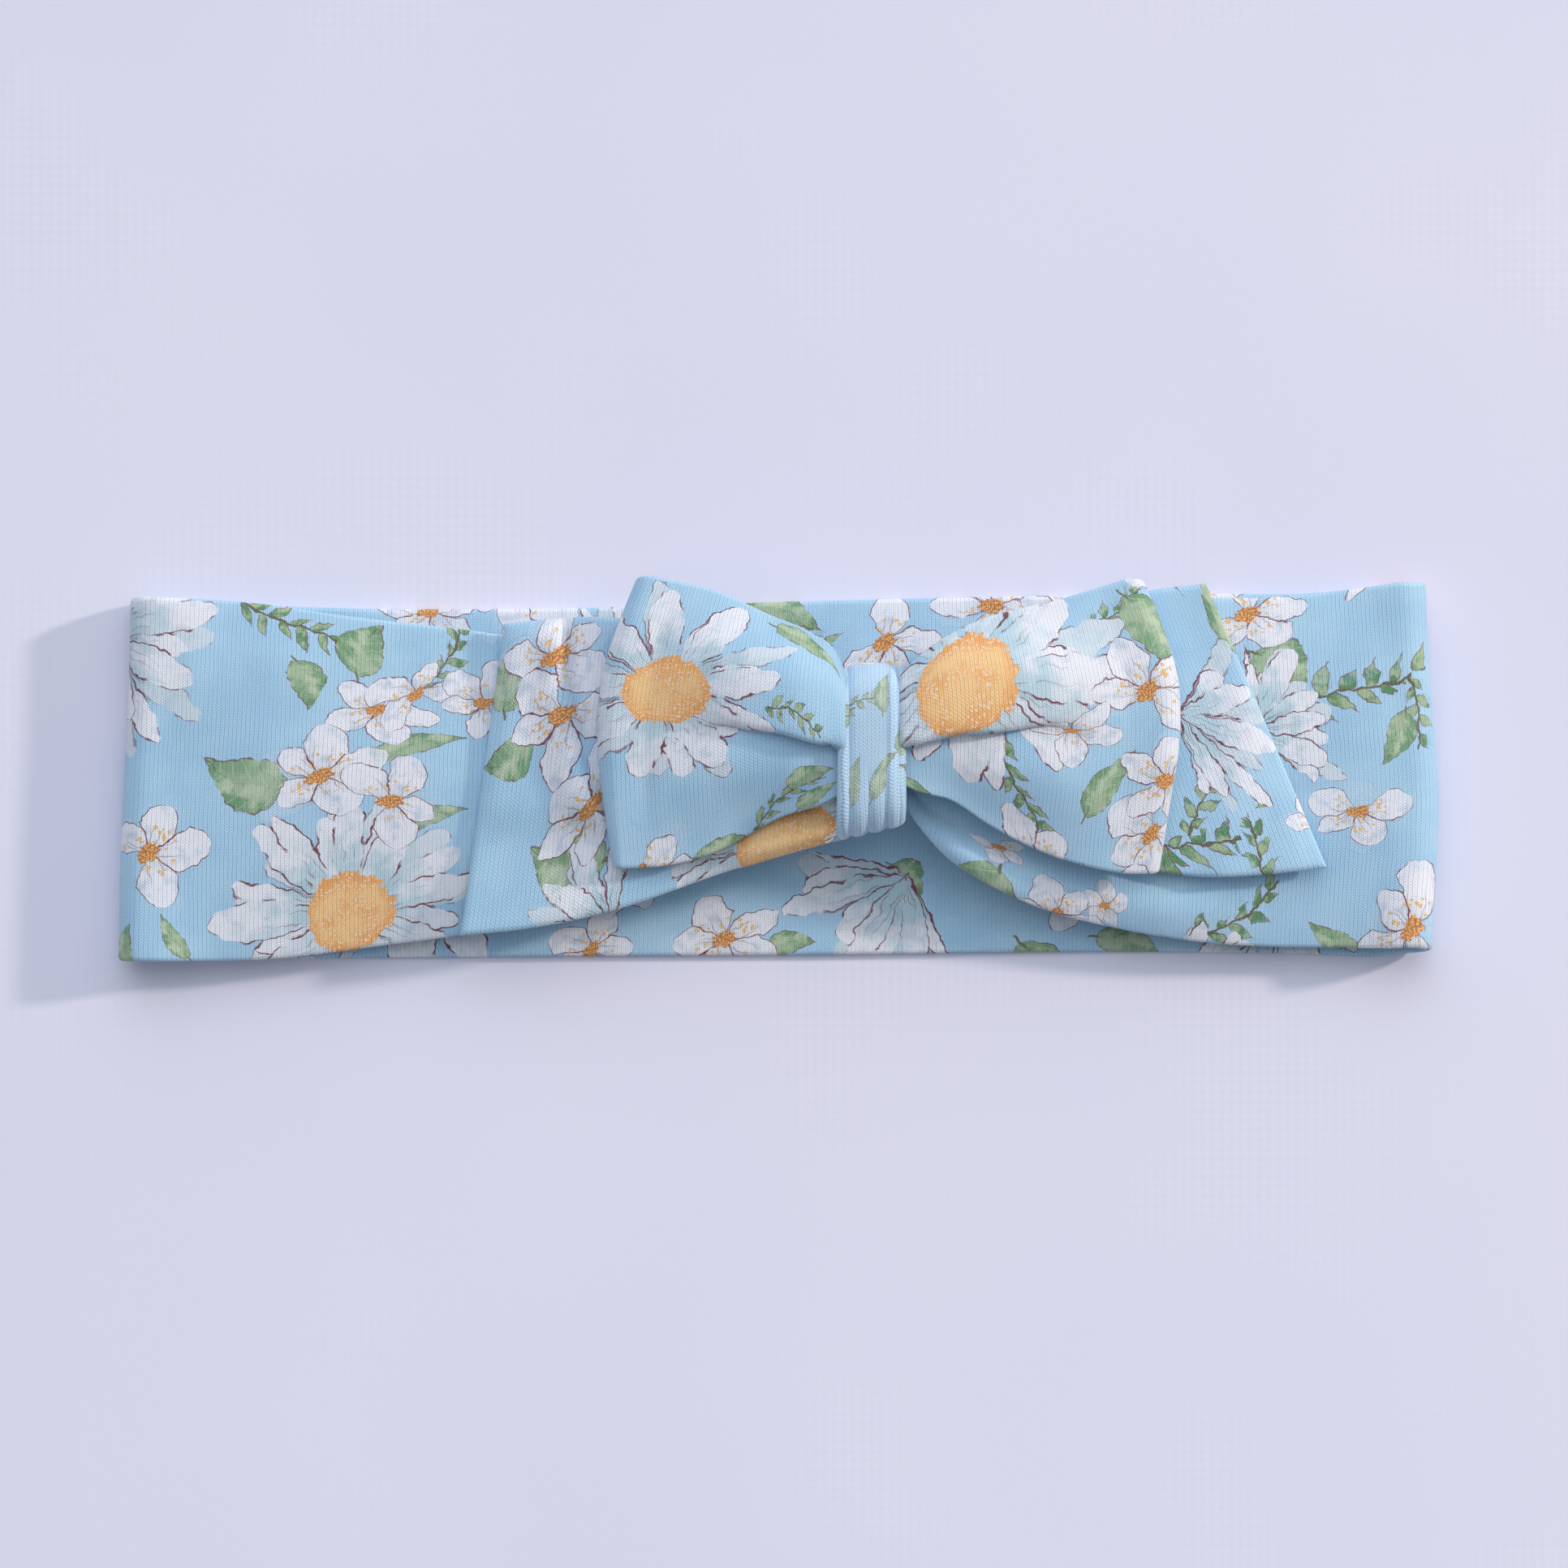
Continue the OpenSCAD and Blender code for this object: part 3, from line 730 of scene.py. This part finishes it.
def front_rise(side, x, y, w):
    """Middle height of the front layer, with its gathers, crown, waves and dents."""
    d = side * (x - RIM[side])
    near = np.exp(-np.maximum(d, 0) / 14)
    z = mix(FRONT_Z, GATHER_Z, climb(d))
    z = z + 0.55 * near * np.sin(TURN * (3.5 * (w + 1) / 2 + 0.1 * side))
    fade = smooth(np.abs(x), 92, 84)
    z = z + (0.8 - 2.4 * (w - 0.2) ** 2) * smooth(d, 6, 40) * smooth(np.abs(x), 93, 80)
    z = z + 0.35 * fade * np.sin(x / 9.5 + y / 17) * np.cos(y / 13 - x / 31)
    if side == LEFT:
        z = z - 0.7 * np.exp(-((x + 82) / 6) ** 2 - ((y - 2) / 8) ** 2)
        z = z + 0.5 * np.exp(-((x + 71) / 6) ** 2 - ((y - 16) / 5) ** 2)
    else:
        roll = bell(w + 0.84, 0.17) * smooth(x, 76, 50) * smooth(d, 1, 9)
        z = z + 1.6 * roll
    return z


def band_half(side):
    """Half of the band, from the middle under the knot round its end fold and back above it."""
    w = across(1.0, SPAN)
    v = (w + 1) / 2
    outer = FOLD_X[side](mix(-27.0, 25.5, v))
    centre = outer - side * (FOLD_R + CLOTH_T / 2)
    back_z = CLOTH_T / 2 + GAP
    rows = []
    # A tiny first step keeps the surface's direction true where the two halves meet.
    for a in np.append(0, np.linspace(0.0003, 1, 118)):
        x = mix(KNOT_X, centre, a)
        y = mix(BACK_LOW(x), BACK_TOP(x), v)
        lift = 0.25 * (1 - np.cos(TURN * a)) * (1 + np.sin(x / 11)) * (1 - w**2)
        rows.append((x, y, back_z + lift))
    for angle in np.linspace(0, math.pi, 15)[1:-1]:
        x = centre + side * FOLD_R * math.sin(angle)
        turn = smooth(angle / math.pi)
        low = mix(BACK_LOW(centre), FRONT_LOW[side](centre), turn)
        high = mix(BACK_TOP(centre), FRONT_TOP[side](centre), turn)
        z = np.full_like(x, FOLD_Z - FOLD_R * math.cos(angle))
        rows.append((x, mix(low, high, v), z))
    for b in np.linspace(0, 1, 122):
        x = mix(centre, KNOT_X, b)
        y = mix(FRONT_LOW[side](x), FRONT_TOP[side](x), v)
        z = mix(FRONT_Z, front_rise(side, x, y, w), smooth(b, 0, 0.06))
        rows.append((x, y, z))
    points, along = surface(rows, side == RIGHT)
    return Cloth(f"band_{SIDE[side]}", points, along, w, SPAN)


def band(material):
    """Both halves of the band, on which the print runs across the line between them."""
    halves = [band_half(side) for side in (LEFT, RIGHT)]
    parts = [(half, BAND_PRINT[side]) for side, half in zip((LEFT, RIGHT), halves)]
    motifs = spread_motifs(parts, 10, lambda s: s > 92 or s < -66)
    pieces = [half.build(material, motifs) for half in halves]
    for piece in pieces:
        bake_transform(piece)
    return *pieces, halves


# ---- the tails
# Where a tail's slanted end meets its lower and its upper edge, in x.
TAIL_END = {LEFT: (-45.5, -39.2), RIGHT: (78.5, 61.2)}
TAIL_LOW = {
    LEFT: curve((0, -9.5), (0.16, -12.0), (0.32, -14.8), (0.62, -20.4), (0.85, -22.9), (1, -23.7)),
    RIGHT: curve(
        (0, -2), (0.13, -3.3), (0.23, -6), (0.37, -10.3), (0.51, -13), (0.61, -14.6), (0.7, -15.3),
        (0.83, -15.1), (1, -14),
    ),
}
TAIL_TOP = {
    LEFT: curve((0, 9), (0.3, 15.5), (0.64, 21.6), (1, 21)),
    RIGHT: curve((0, 10), (0.4, 19), (0.82, 25.7), (1, 26.7)),
}


def tail_rise(side, x, y):
    """Height of a tail above its lowest place, with its soft pleats."""
    d = side * (x - RIM[side])
    if side == LEFT:
        ridge = curve((17.5, -31.6), (5.8, -30.4), (-1.3, -28.6), (-6, -26.3), (-12, -22))(y)
        gap = x - ridge
        pleat = np.where(gap < 0, mix(0.3, 1, bell(gap, 3.6)), bell(gap, 1.2))
        rise = 2.7 * pleat * smooth(y, 23, 18) * smooth(y, -11, -4)
        route = curve((8.4, -5.2), (7.3, -5.5), (0, -8.2), (-8, -11), (-16, -13))(x)
        rise = rise + 1.1 * bell(y - route, 1.7) * smooth(x, -16, -6)
        lower = curve((8.4, -8.6), (0, -10.8), (-5, -12.4), (-10, -14.2))(x)
        rise = rise + 1.5 * bell(y - lower, 1.1) * smooth(x, -8, -3)
    else:
        rise = 0.8 * bell(x - 67 - (y - 8) * 0.12, 3.5) * smooth(y, 25, 16)
        rise = rise + 0.5 * bell(x - 72 + y * 0.1, 4) * smooth(y, 4, -6)
    return rise + 0.3 * (1 + np.sin(x / 7 + y / 9)) * smooth(d, 2, 20)


# The last stations lie this far from a tail's end, where the cloth thins to its end seam.
NEAR_END = np.array([0.8, 0.45, 0.2, 0.05, 0.0])


def tail(side, material):
    """One tail, from under the knot to its slanted end."""
    w = across(0.9, TAIL_SPAN)
    v = (w + 1) / 2
    low_x, high_x = TAIL_END[side]
    end_x = mix(low_x, high_x, v)
    start_x = RIM[side] - side * TUCKED
    length = side * (mix(low_x, high_x, 0.5) - start_x)
    stations = np.concatenate([np.linspace(0, 1 - 1.2 / length, 66), 1 - NEAR_END / length])
    rows = []
    for f in stations:
        x = mix(start_x, end_x, f)
        y = mix(TAIL_LOW[side](f), TAIL_TOP[side](f), v)
        d = side * (x - RIM[side])
        base = mix(TAIL_FOOT, TAIL_HEAD, climb(d))
        gather = 0.5 * np.exp(-np.maximum(d, 0) / 9) * (1 + np.sin(v * 6 * math.pi))
        end = smooth(f, 1, 1 - 3 / length)
        z = base + CLOTH_T / 2 + (tail_rise(side, x, y) + gather) * mix(0.25, 1, end)
        rows.append((x, y, z))
    points, _ = surface(rows)
    along = stations * length
    to_end = np.clip(length - along, 0, 1)
    thin = np.sqrt(np.clip(1 - (1 - to_end) ** 2, 0.04, 1))
    if side == LEFT:
        points, along, thin = points[::-1], -along[::-1], thin[::-1]
    name = f"tail_{SIDE[side]}"
    cloth = Cloth(name + "_cloth", points, along, w, TAIL_SPAN, thin=thin)
    motifs = spread_motifs([(cloth, TAIL_PRINT[side])], 23 + side, lambda s: True)
    piece = cloth.build(material, motifs)
    pivot = RIM[side] * MM
    pivot + side * 11 * MM
    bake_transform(piece)
    return piece


# ---- the loops
# A loop's reach from the knot's rim, by the place across it, and its edges and the pleat's line,
# by the place along it.
LOOP_REACH = {
    LEFT: curve((0, 32.1), (0.25, 33.6), (0.46, 34.3), (0.7, 33.2), (0.87, 30.8), (1, 28.6)),
    RIGHT: curve((0, 36.0), (0.2, 37.3), (0.47, 38.9), (0.65, 38.7), (0.85, 36.3), (1, 33.7)),
}
LOOP_TOP = {
    LEFT: curve((0, 13.4), (0.05, 16.6), (0.17, 19.3), (0.38, 21.8), (0.65, 25.2), (1, 27.6)),
    RIGHT: curve(
        (0, 13.4), (0.06, 15.5), (0.2, 18.9), (0.37, 21.5), (0.5, 22.7), (0.66, 23.9),
        (0.82, 25.4), (1, 27.2),
    ),
}
LOOP_LOW = {
    LEFT: curve(
        (0, -3.2), (0.08, -4.6), (0.3, -6.9), (0.5, -10.4), (0.6, -11.9), (0.8, -13.6),
        (1, -14.1),
    ),
    RIGHT: curve(
        (0, -2), (0.07, -3.1), (0.2, -4.3), (0.35, -7.7), (0.56, -11.5), (0.77, -13.9),
        (0.92, -14.8), (1, -14.8),
    ),
}
PLEAT = {
    LEFT: curve((0, 0.373), (0.12, 0.39), (0.26, 0.44), (0.42, 0.5), (0.55, 0.548), (0.7, 0.56)),
    RIGHT: curve((0, 0.36), (0.12, 0.395), (0.29, 0.45), (0.43, 0.506), (0.56, 0.558), (0.67, 0.577)),
}
PLEAT_END = {LEFT: 0.84, RIGHT: 0.92}


def loop_front(side, f, q):
    """Places across a loop's front sheet and their heights, with the pleat under its upper lobe."""
    low, high = LOOP_LOW[side](f), LOOP_TOP[side](f)
    span = high - low
    y = mix(low, high, q)
    depth = 4.4 * smooth(f, PLEAT_END[side], 0.05)
    sigma = 0.11
    shift = (q - (PLEAT[side](f) + depth / np.maximum(span, 1) - 0.7 * sigma)) / sigma
    y = y - depth * shift * np.exp(-shift**2) / 0.4289
    lobes = 2.3 * bell(q - 0.3, 0.2) + 2.4 * bell(q - 0.74, 0.2)
    step = 1 / (1 + np.exp(-3.2 * shift))
    puff = np.sin(math.pi * np.clip(f * 1.15, 0, 1)) ** 0.8
    z = 0.72 * depth * step * bell(np.maximum(shift, 0), 3.0) + lobes * puff
    return y, z


LOOP_RADIUS = curve((0, 0.95), (0.2, 1.6), (0.5, 2.4), (0.8, 2.4), (1, 1.8))
LOOP_T = 1.2  # the loops' cloth is drawn a little tighter


def loop(side, material):
    """One bow loop, out from under the knot, round its fold and back over itself."""
    w = across(0.85, LOOP_SPAN)
    q = (w + 1) / 2
    radius = LOOP_RADIUS(q)
    reach = LOOP_REACH[side](q)
    centre = RIM[side] + side * (reach - radius - CLOTH_T / 2)
    start = RIM[side] - side * TUCKED
    under = LOOP_FOOT + CLOTH_T / 2 + 0.1
    rows = []
    for a in np.linspace(0, 1, 44):
        x = mix(start, centre, a)
        d = side * (x - RIM[side])
        y = mix(LOOP_LOW[side](a) + 0.4, LOOP_TOP[side](a) - 0.4, q)
        z = mix(under, LOOP_HEAD + CLOTH_T / 2, climb(d)) + 0.5 * w**2 * a
        rows.append((x, y, z))
    for angle in np.linspace(0, math.pi, 19)[1:-1]:
        x = centre + side * radius * math.sin(angle)
        tuck = 0.4 * (1 + math.cos(angle)) / 2
        y = mix(LOOP_LOW[side](1.0) + tuck, LOOP_TOP[side](1.0) - tuck, q)
        z = under + 0.5 * w**2 * (1 + math.cos(angle)) / 2 + radius * (1 - math.cos(angle))
        rows.append((x, y, z))
    for f in np.linspace(1, 0, 52):
        x = mix(start, centre, f)
        y, rise = loop_front(side, f, q)
        reach_in = mix(0.5, 1.0, bell(q - 0.62, 0.3))
        body = mix(ROOT_Z, under + 2 * radius, smooth(f / reach_in, -0.05, 1.0))
        z = body + rise * smooth(f, 1.0, 0.86)
        rows.append((x, y, z))
    points, along = surface(rows, side == RIGHT)
    name = f"loop_{SIDE[side]}"
    cloth = Cloth(name + "_cloth", points, along, w, LOOP_SPAN, thickness=LOOP_T)
    root = along[0] if side == RIGHT else along[-1]
    motifs = spread_motifs([(cloth, LOOP_PRINT[side])], 37 + side, lambda s: abs(s - root) < 44)
    piece = cloth.build(material, motifs)
    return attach(piece, name)


# ---- the knot
def knot_wrap(material):
    """The strip round the knot, with its rolled edges and the folds on its near side."""
    w = across(0.22, KNOT_SPAN)
    start = -math.pi / 2 + 0.05
    (x0, y0, z0), (x1, y1, z1) = WRAP
    z_mid, z_half = (z0 + z1) / 2, (z1 - z0) / 2 - CLOTH_T / 2
    rows = []
    for angle in np.linspace(start, start + TURN - 0.1, 150):
        c, s = math.cos(angle), math.sin(angle)
        x = KNOT_X - 0.2 + w * ((x1 - x0) / 2 - 0.35)
        low = -9.7 + 0.24 * (x - x0) + CLOTH_T / 2
        high = 15.3 - 0.048 * (x - KNOT_X) ** 2 - CLOTH_T / 2
        y = (low + high) / 2 + (high - low) / 2 * math.copysign(abs(c) ** 0.62, c)
        z = z_mid + z_half * math.copysign(abs(s) ** 0.8, s)
        top = smooth(s, -0.2, 0.6)
        crown = -1.0 * np.abs(w) ** 3.4
        ribs = 0.32 * bell(w + 0.84, 0.09) - 0.45 * bell(w + 0.66, 0.08)
        ribs = ribs + 0.3 * bell(w - 0.62, 0.1) - 0.25 * bell(w - 0.78, 0.05)
        ribs = ribs + 0.25 * bell(w - 0.9, 0.06)
        lower = smooth(c, 0.0, -0.95)
        folds = 0.85 * lower * np.abs(np.sin(5.8 * w + 0.6)) ** 0.8 * smooth(np.abs(w), 1.0, 0.9)
        push = (crown + ribs) * top + folds * smooth(s, -0.6, 0.2)
        out = np.array([c * 0.8, s])
        out = out / np.linalg.norm(out)
        rows.append((x, y + push * out[0] * 0.7, z + push * out[1]))
    points, along = surface(rows)
    cloth = Cloth("knot_wrap_cloth", points, along, w, KNOT_SPAN)
    cloth.grain = np.array([[0, 0.75], [0.85, 0]])
    motifs = spread_motifs([(cloth, KNOT_PRINT)], 53, lambda s: 10 < s < 50)
    piece = cloth.build(material, motifs)
    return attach(piece, "band_front")


# ---- threads
THREAD_R = 0.13
THREAD_SIDES = 6


def thread_mesh(name, routes, material):
    """A piece made of one closed round tube along each of the routes."""
    points, faces = [], []
    for route in routes:
        route = np.asarray(route, float)
        way = np.gradient(route, axis=0)
        way /= np.linalg.norm(way, axis=1, keepdims=True)
        side = np.cross(way, (0.13, 0.21, 0.97))
        side /= np.linalg.norm(side, axis=1, keepdims=True)
        up = np.cross(side, way)
        first = len(points)
        for place, a, b in zip(route, side, up):
            for angle in np.arange(THREAD_SIDES) * TURN / THREAD_SIDES:
                points.append((place + THREAD_R * (a * math.cos(angle) + b * math.sin(angle))) * MM)
        for i in range(first, len(points) - THREAD_SIDES, THREAD_SIDES):
            for k in range(THREAD_SIDES):
                n = (k + 1) % THREAD_SIDES
                faces.append((i + k, i + n, i + THREAD_SIDES + n, i + THREAD_SIDES + k))
        faces.append(tuple(range(first, first + THREAD_SIDES))[::-1])
        faces.append(tuple(range(len(points) - THREAD_SIDES, len(points))))
    mesh = bpy.data.meshes.new(name)
    mesh.from_pydata([tuple(p) for p in points], [], faces)
    piece = put_mesh(name, mesh, material)
    return piece


def long_seam(halves, material):
    """Zigzag stitches along the middle of the tube's inner side, right round the band."""
    route = []
    for half in reversed(halves):
        seam, outer = half.grid[:, 0], half.grid[:, half.m - 1]
        inward = (seam - outer) / np.linalg.norm(seam - outer, axis=1, keepdims=True)
        for i in range(1, half.n - 1):
            for share in (0.0, 0.5):
                place = mix(half.grid[i], half.grid[i + 1], share)
                swing = place[1] if share else place[-1]
                route.append(mix(place[0], swing, 0.8) + inward[i] * THREAD_R * 0.6)
    piece = thread_mesh("long_seam_stitches", [route], material)
    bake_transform(piece)
    return piece


def loose_thread(material):
    """The knot's thread end, three frayed plies that curl out at its lower left corner."""
    routes = []
    for ply in range(3):
        t = np.linspace(0, 1, 24)
        turn = t * (7.0 + ply) + ply * 2.1
        x = mix(9.4, 6.5 + 0.4 * ply, t) + 0.4 * t * np.sin(turn)
        y = mix(-8.0, -10.3 + 0.3 * ply, t) + 0.4 * t * np.cos(turn)
        z = TAIL_HEAD + 4.2 + 0.25 * np.sin(turn * 0.7)
        routes.append(np.stack([x, y, z], axis=1))
    piece = thread_mesh("loose_thread_curl", routes, material)
    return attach(piece, "band_front")


# ---- where the visible motifs lie
# Each is (kind, x, y, the way it points in degrees, size), where size may be a pair, along and
# across. A last "fan" leaves half a daisy.
BAND_PRINT = {
    LEFT: (
        ("daisy", -61.4, -20.4, 10, 1.0), ("daisy", -94.6, 19.6, -22, 0.95, "fan"),
        ("blossom", -57.4, 8.6, 0, 0.85), ("blossom", -51.9, 10.9, 40, 0.85),
        ("blossom", -65.7, -0.8, 20, 1.0), ("blossom", -55.6, -4.4, 0, 0.9),
        ("blossom", -90.2, -11.9, 30, 0.9), ("blossom", -42.3, 9.6, 0, 0.8),
        ("leaf", -76.8, -1.3, 160, (0.85, 1.15)), ("leaf", -67.6, 12.2, 280, (0.5, 0.8)),
        ("leaf", -59.2, 17.6, 60, (0.6, 0.95)), ("leaf", -51.6, 3.6, 12, (0.95, 0.55)),
        ("leaf", -49.6, -6.6, 15, (0.7, 0.5)), ("leaf", -94.0, -25.6, 80, 0.5),
        ("leaf", -86.8, -23.9, 120, (0.5, 0.35)), ("sprig", -69.0, 20.6, -30, 0.85),
        ("sprig", -47.4, 17.4, 60, 0.8), ("blossom", -50.4, 22.9, 0, 0.85),
        ("blossom", -7.8, -24.4, 10, 0.95), ("blossom", -27.0, -26.0, 40, 0.8),
        ("leaf", 1.8, -25.0, 10, 0.5), ("leaf", 1.0, 22.6, -20, (0.8, 0.7)),
        ("sprig", 4.0, 20.4, -30, 0.6),
    ),
    RIGHT: (
        ("blossom", 67.2, 22.4, 15, 0.95), ("blossom", 83.0, -6.0, 0, 0.85),
        ("blossom", 90.8, -22.8, 60, 0.95), ("leaf", 72.4, 14.2, -40, (0.65, 1.0)),
        ("leaf", 79.6, -24.2, 150, (0.6, 0.5)), ("daisy", 67.5, 5.5, 25, 0.72, "fan"),
        ("sprig", 85.4, 12.6, 22, 1.05), ("sprig", 90.6, 9.6, -75, 0.8),
        ("leaf", 88.6, 4.4, 245, (0.55, 0.5)), ("sprig", 66.2, -20.2, 30, 0.9),
        ("blossom", 31.5, -11.0, 0, 0.55), ("blossom", 46.8, -19.4, 0, 0.42),
        ("daisy", 18.6, -14.8, 232, 0.95, "fan"), ("leaf", 18.8, -15.8, -50, (0.45, 0.6)),
        ("leaf", 51.0, -25.2, -20, 0.7), ("blossom", 15.4, 18.4, 20, 0.95),
        ("blossom", 30.8, 23.8, 0, 0.85),
    ),
}
TAIL_PRINT = {
    LEFT: (
        ("blossom", -32.0, 16.0, 20, 0.95), ("blossom", -30.9, 7.8, 0, 0.9),
        ("blossom", -26.6, -5.2, 50, 0.9), ("leaf", -38.8, 13.0, 80, (0.5, 0.7)),
        ("leaf", -38.5, 1.6, 200, (0.5, 0.8)), ("leaf", -30.6, -13.2, 165, (0.75, 1.15)),
        ("daisy", -23.6, -22.4, 152, 0.62, "fan"), ("daisy", 1.0, -9.0, 0, 1.05),
    ),
    RIGHT: (
        ("leaf", 63.2, 22.8, 110, (0.8, 0.6)), ("daisy", 57.1, 7.7, -12, 0.68, "fan"),
        ("sprig", 63.6, -9.2, 30, 0.95), ("sprig", 60.6, -6.4, 70, 0.8),
        ("sprig", 67.4, -10.0, 110, 0.7), ("blossom", 77.2, -8.0, 0, 0.5),
    ),
}
LOOP_PRINT = {
    LEFT: (
        ("daisy", -16.0, 11.2, 0, (1.02, 0.74)), ("leaf", 4.6, 17.4, -38, (0.8, 0.5)),
        ("leaf", 4.6, -0.8, 20, (0.5, 0.6)), ("leaf", 5.8, -3.4, 40, (0.5, 0.45)),
        ("sprig", 1.6, -3.6, 35, 0.7), ("sprig", 2.6, 7.2, -20, 0.45),
    ),
    RIGHT: (
        ("daisy", 26.6, 13.8, 0, (1.2, 1.16)), ("leaf", 53.0, 19.8, -65, (0.72, 0.85)),
        ("blossom", 52.4, 11.2, 30, 0.9), ("blossom", 55.2, -1.6, 0, 0.9),
        ("blossom", 53.2, -9.0, 40, 0.95), ("leaf", 47.0, -1.8, 50, (0.8, 0.55)),
        ("sprig", 34.2, -3.2, -80, 0.85), ("blossom", 41.6, 5.6, 0, 0.75),
        ("leaf", 45.6, 13.6, 50, (0.5, 0.4)), ("sprig", 48.0, 23.0, 35, 0.6),
    ),
}
KNOT_PRINT = (
    ("leaf", 15.0, 11.2, 75, (0.4, 0.36)), ("sprig", 12.4, 9.4, 10, 0.55),
    ("leaf", 10.6, -1.6, 82, (0.5, 0.3)), ("leaf", 14.8, -0.4, 62, (0.52, 0.34)),
    ("leaf", 16.9, 5.0, 80, (0.45, 0.25)),
)


# ---- scene round the object
def floor():
    """A pale backdrop with a faint woven grain."""
    net = Net(bpy.data.materials.new("backdrop_paper"))
    x, y, _ = net.parts(net.value("TexCoord", output="Object"))
    x, y = x * TO_MM, y * TO_MM
    wash = net.noise(x, y, scale=0.01, detail=2.0)
    ribs = net.math("SINE", x * 4.6) * 0.5 + net.math("SINE", y * 4.6) * 0.35
    patch = net.smooth(net.noise(x, y, 3.0, scale=0.02), 0.4, 0.7)
    grain = net.noise(x, y, scale=2.0, detail=4.0)
    colour = net.mix(net.smooth(wash, 0.3, 0.7), "#e3e3f4", "#e6e6f5")
    colour = net.gain(colour, ribs * patch * 0.012 + grain * 0.02 + 0.985)
    numbers = {"Roughness": 0.9, "Specular IOR Level": 0.1}
    paper = net.finish(colour, numbers, ribs * patch + grain, 0.1, 0.1 * MM)
    bpy.ops.mesh.primitive_plane_add(size=3.0, location=(0, 0, 0))
    plane = bpy.context.object
    plane.name = "backdrop"
    plane.data.materials.append(paper)


WINDOW_WAY = (0.0, 0.62, 0.785)
LAMP_WAY = (2.2, 0.82, 1.0)
LAMP_FAR = 2.4


def studio_sky():
    """Soft light from everywhere, most of it from a wide window high behind the band."""
    net = Net(bpy.data.worlds.new("studio"))
    ways = {0: net.value("TexCoord", output="Generated"), 1: Vector(WINDOW_WAY).normalized()}
    facing = net.value("VectorMath", ways, "Value", operation="DOT_PRODUCT")
    glow = net.most(facing, 0.0) ** 4.0
    background = net.tree.nodes["Background"]
    background.inputs["Color"].default_value = (0.925, 0.965, 1.05, 1.0)
    net.set(background.inputs["Strength"], glow * 1.98 + 0.19)
    return net.owner


def light_and_camera():
    """A low warm lamp for the soft shadows, and a long lens straight above the band."""
    scene = bpy.context.scene
    scene.world = studio_sky()
    lamp = bpy.data.lights.new("key", "AREA")
    lamp.shape = "DISK"
    lamp.size = 0.2
    lamp.energy = 32.0
    lamp.color = (1.0, 0.89, 0.79)
    key = put("key", lamp)
    way = Vector(LAMP_WAY).normalized()
    key.location = way * LAMP_FAR
    key.rotation_euler = way.to_track_quat("Z", "Y").to_euler()
    lens = bpy.data.cameras.new("camera")
    lens.lens = 142.9
    lens.sensor_width = 36.0
    camera = put("camera", lens)
    camera.location = (0.0008, -0.002, 0.9)
    scene.camera = camera
    scene.view_settings.view_transform = "Standard"


# ---- the whole object
floor()
light_and_camera()
cloth_material = jersey("printed_jersey")
thread_material = thread()
for name in ("band_join_stitches", "gathering_thread", "knot_closing_stitches"):
    slots = bpy.data.objects[name].data.materials
    slots.clear()
    slots.append(thread_material)

band_left, band_right, band_halves = band(cloth_material)
seam = long_seam(band_halves, thread_material)
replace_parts(seam, "long_seam_back", "long_seam_front")
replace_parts(loose_thread(thread_material), "loose_thread_end")
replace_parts(band_left, "back_panel", "left_end_fold", "front_panel_left")
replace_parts(band_right, "right_end_fold", "front_panel_right")
tails = {side: tail(side, cloth_material) for side in (LEFT, RIGHT)}
loops = {side: loop(side, cloth_material) for side in (LEFT, RIGHT)}
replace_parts(tails[LEFT], "left_tail")
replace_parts(tails[RIGHT], "right_tail")
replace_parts(loops[LEFT], "left_loop")
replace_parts(loops[RIGHT], "right_loop")
knot = knot_wrap(jersey("stretched_jersey", 0.2))
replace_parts(knot, "knot_wrap", "bow_core")
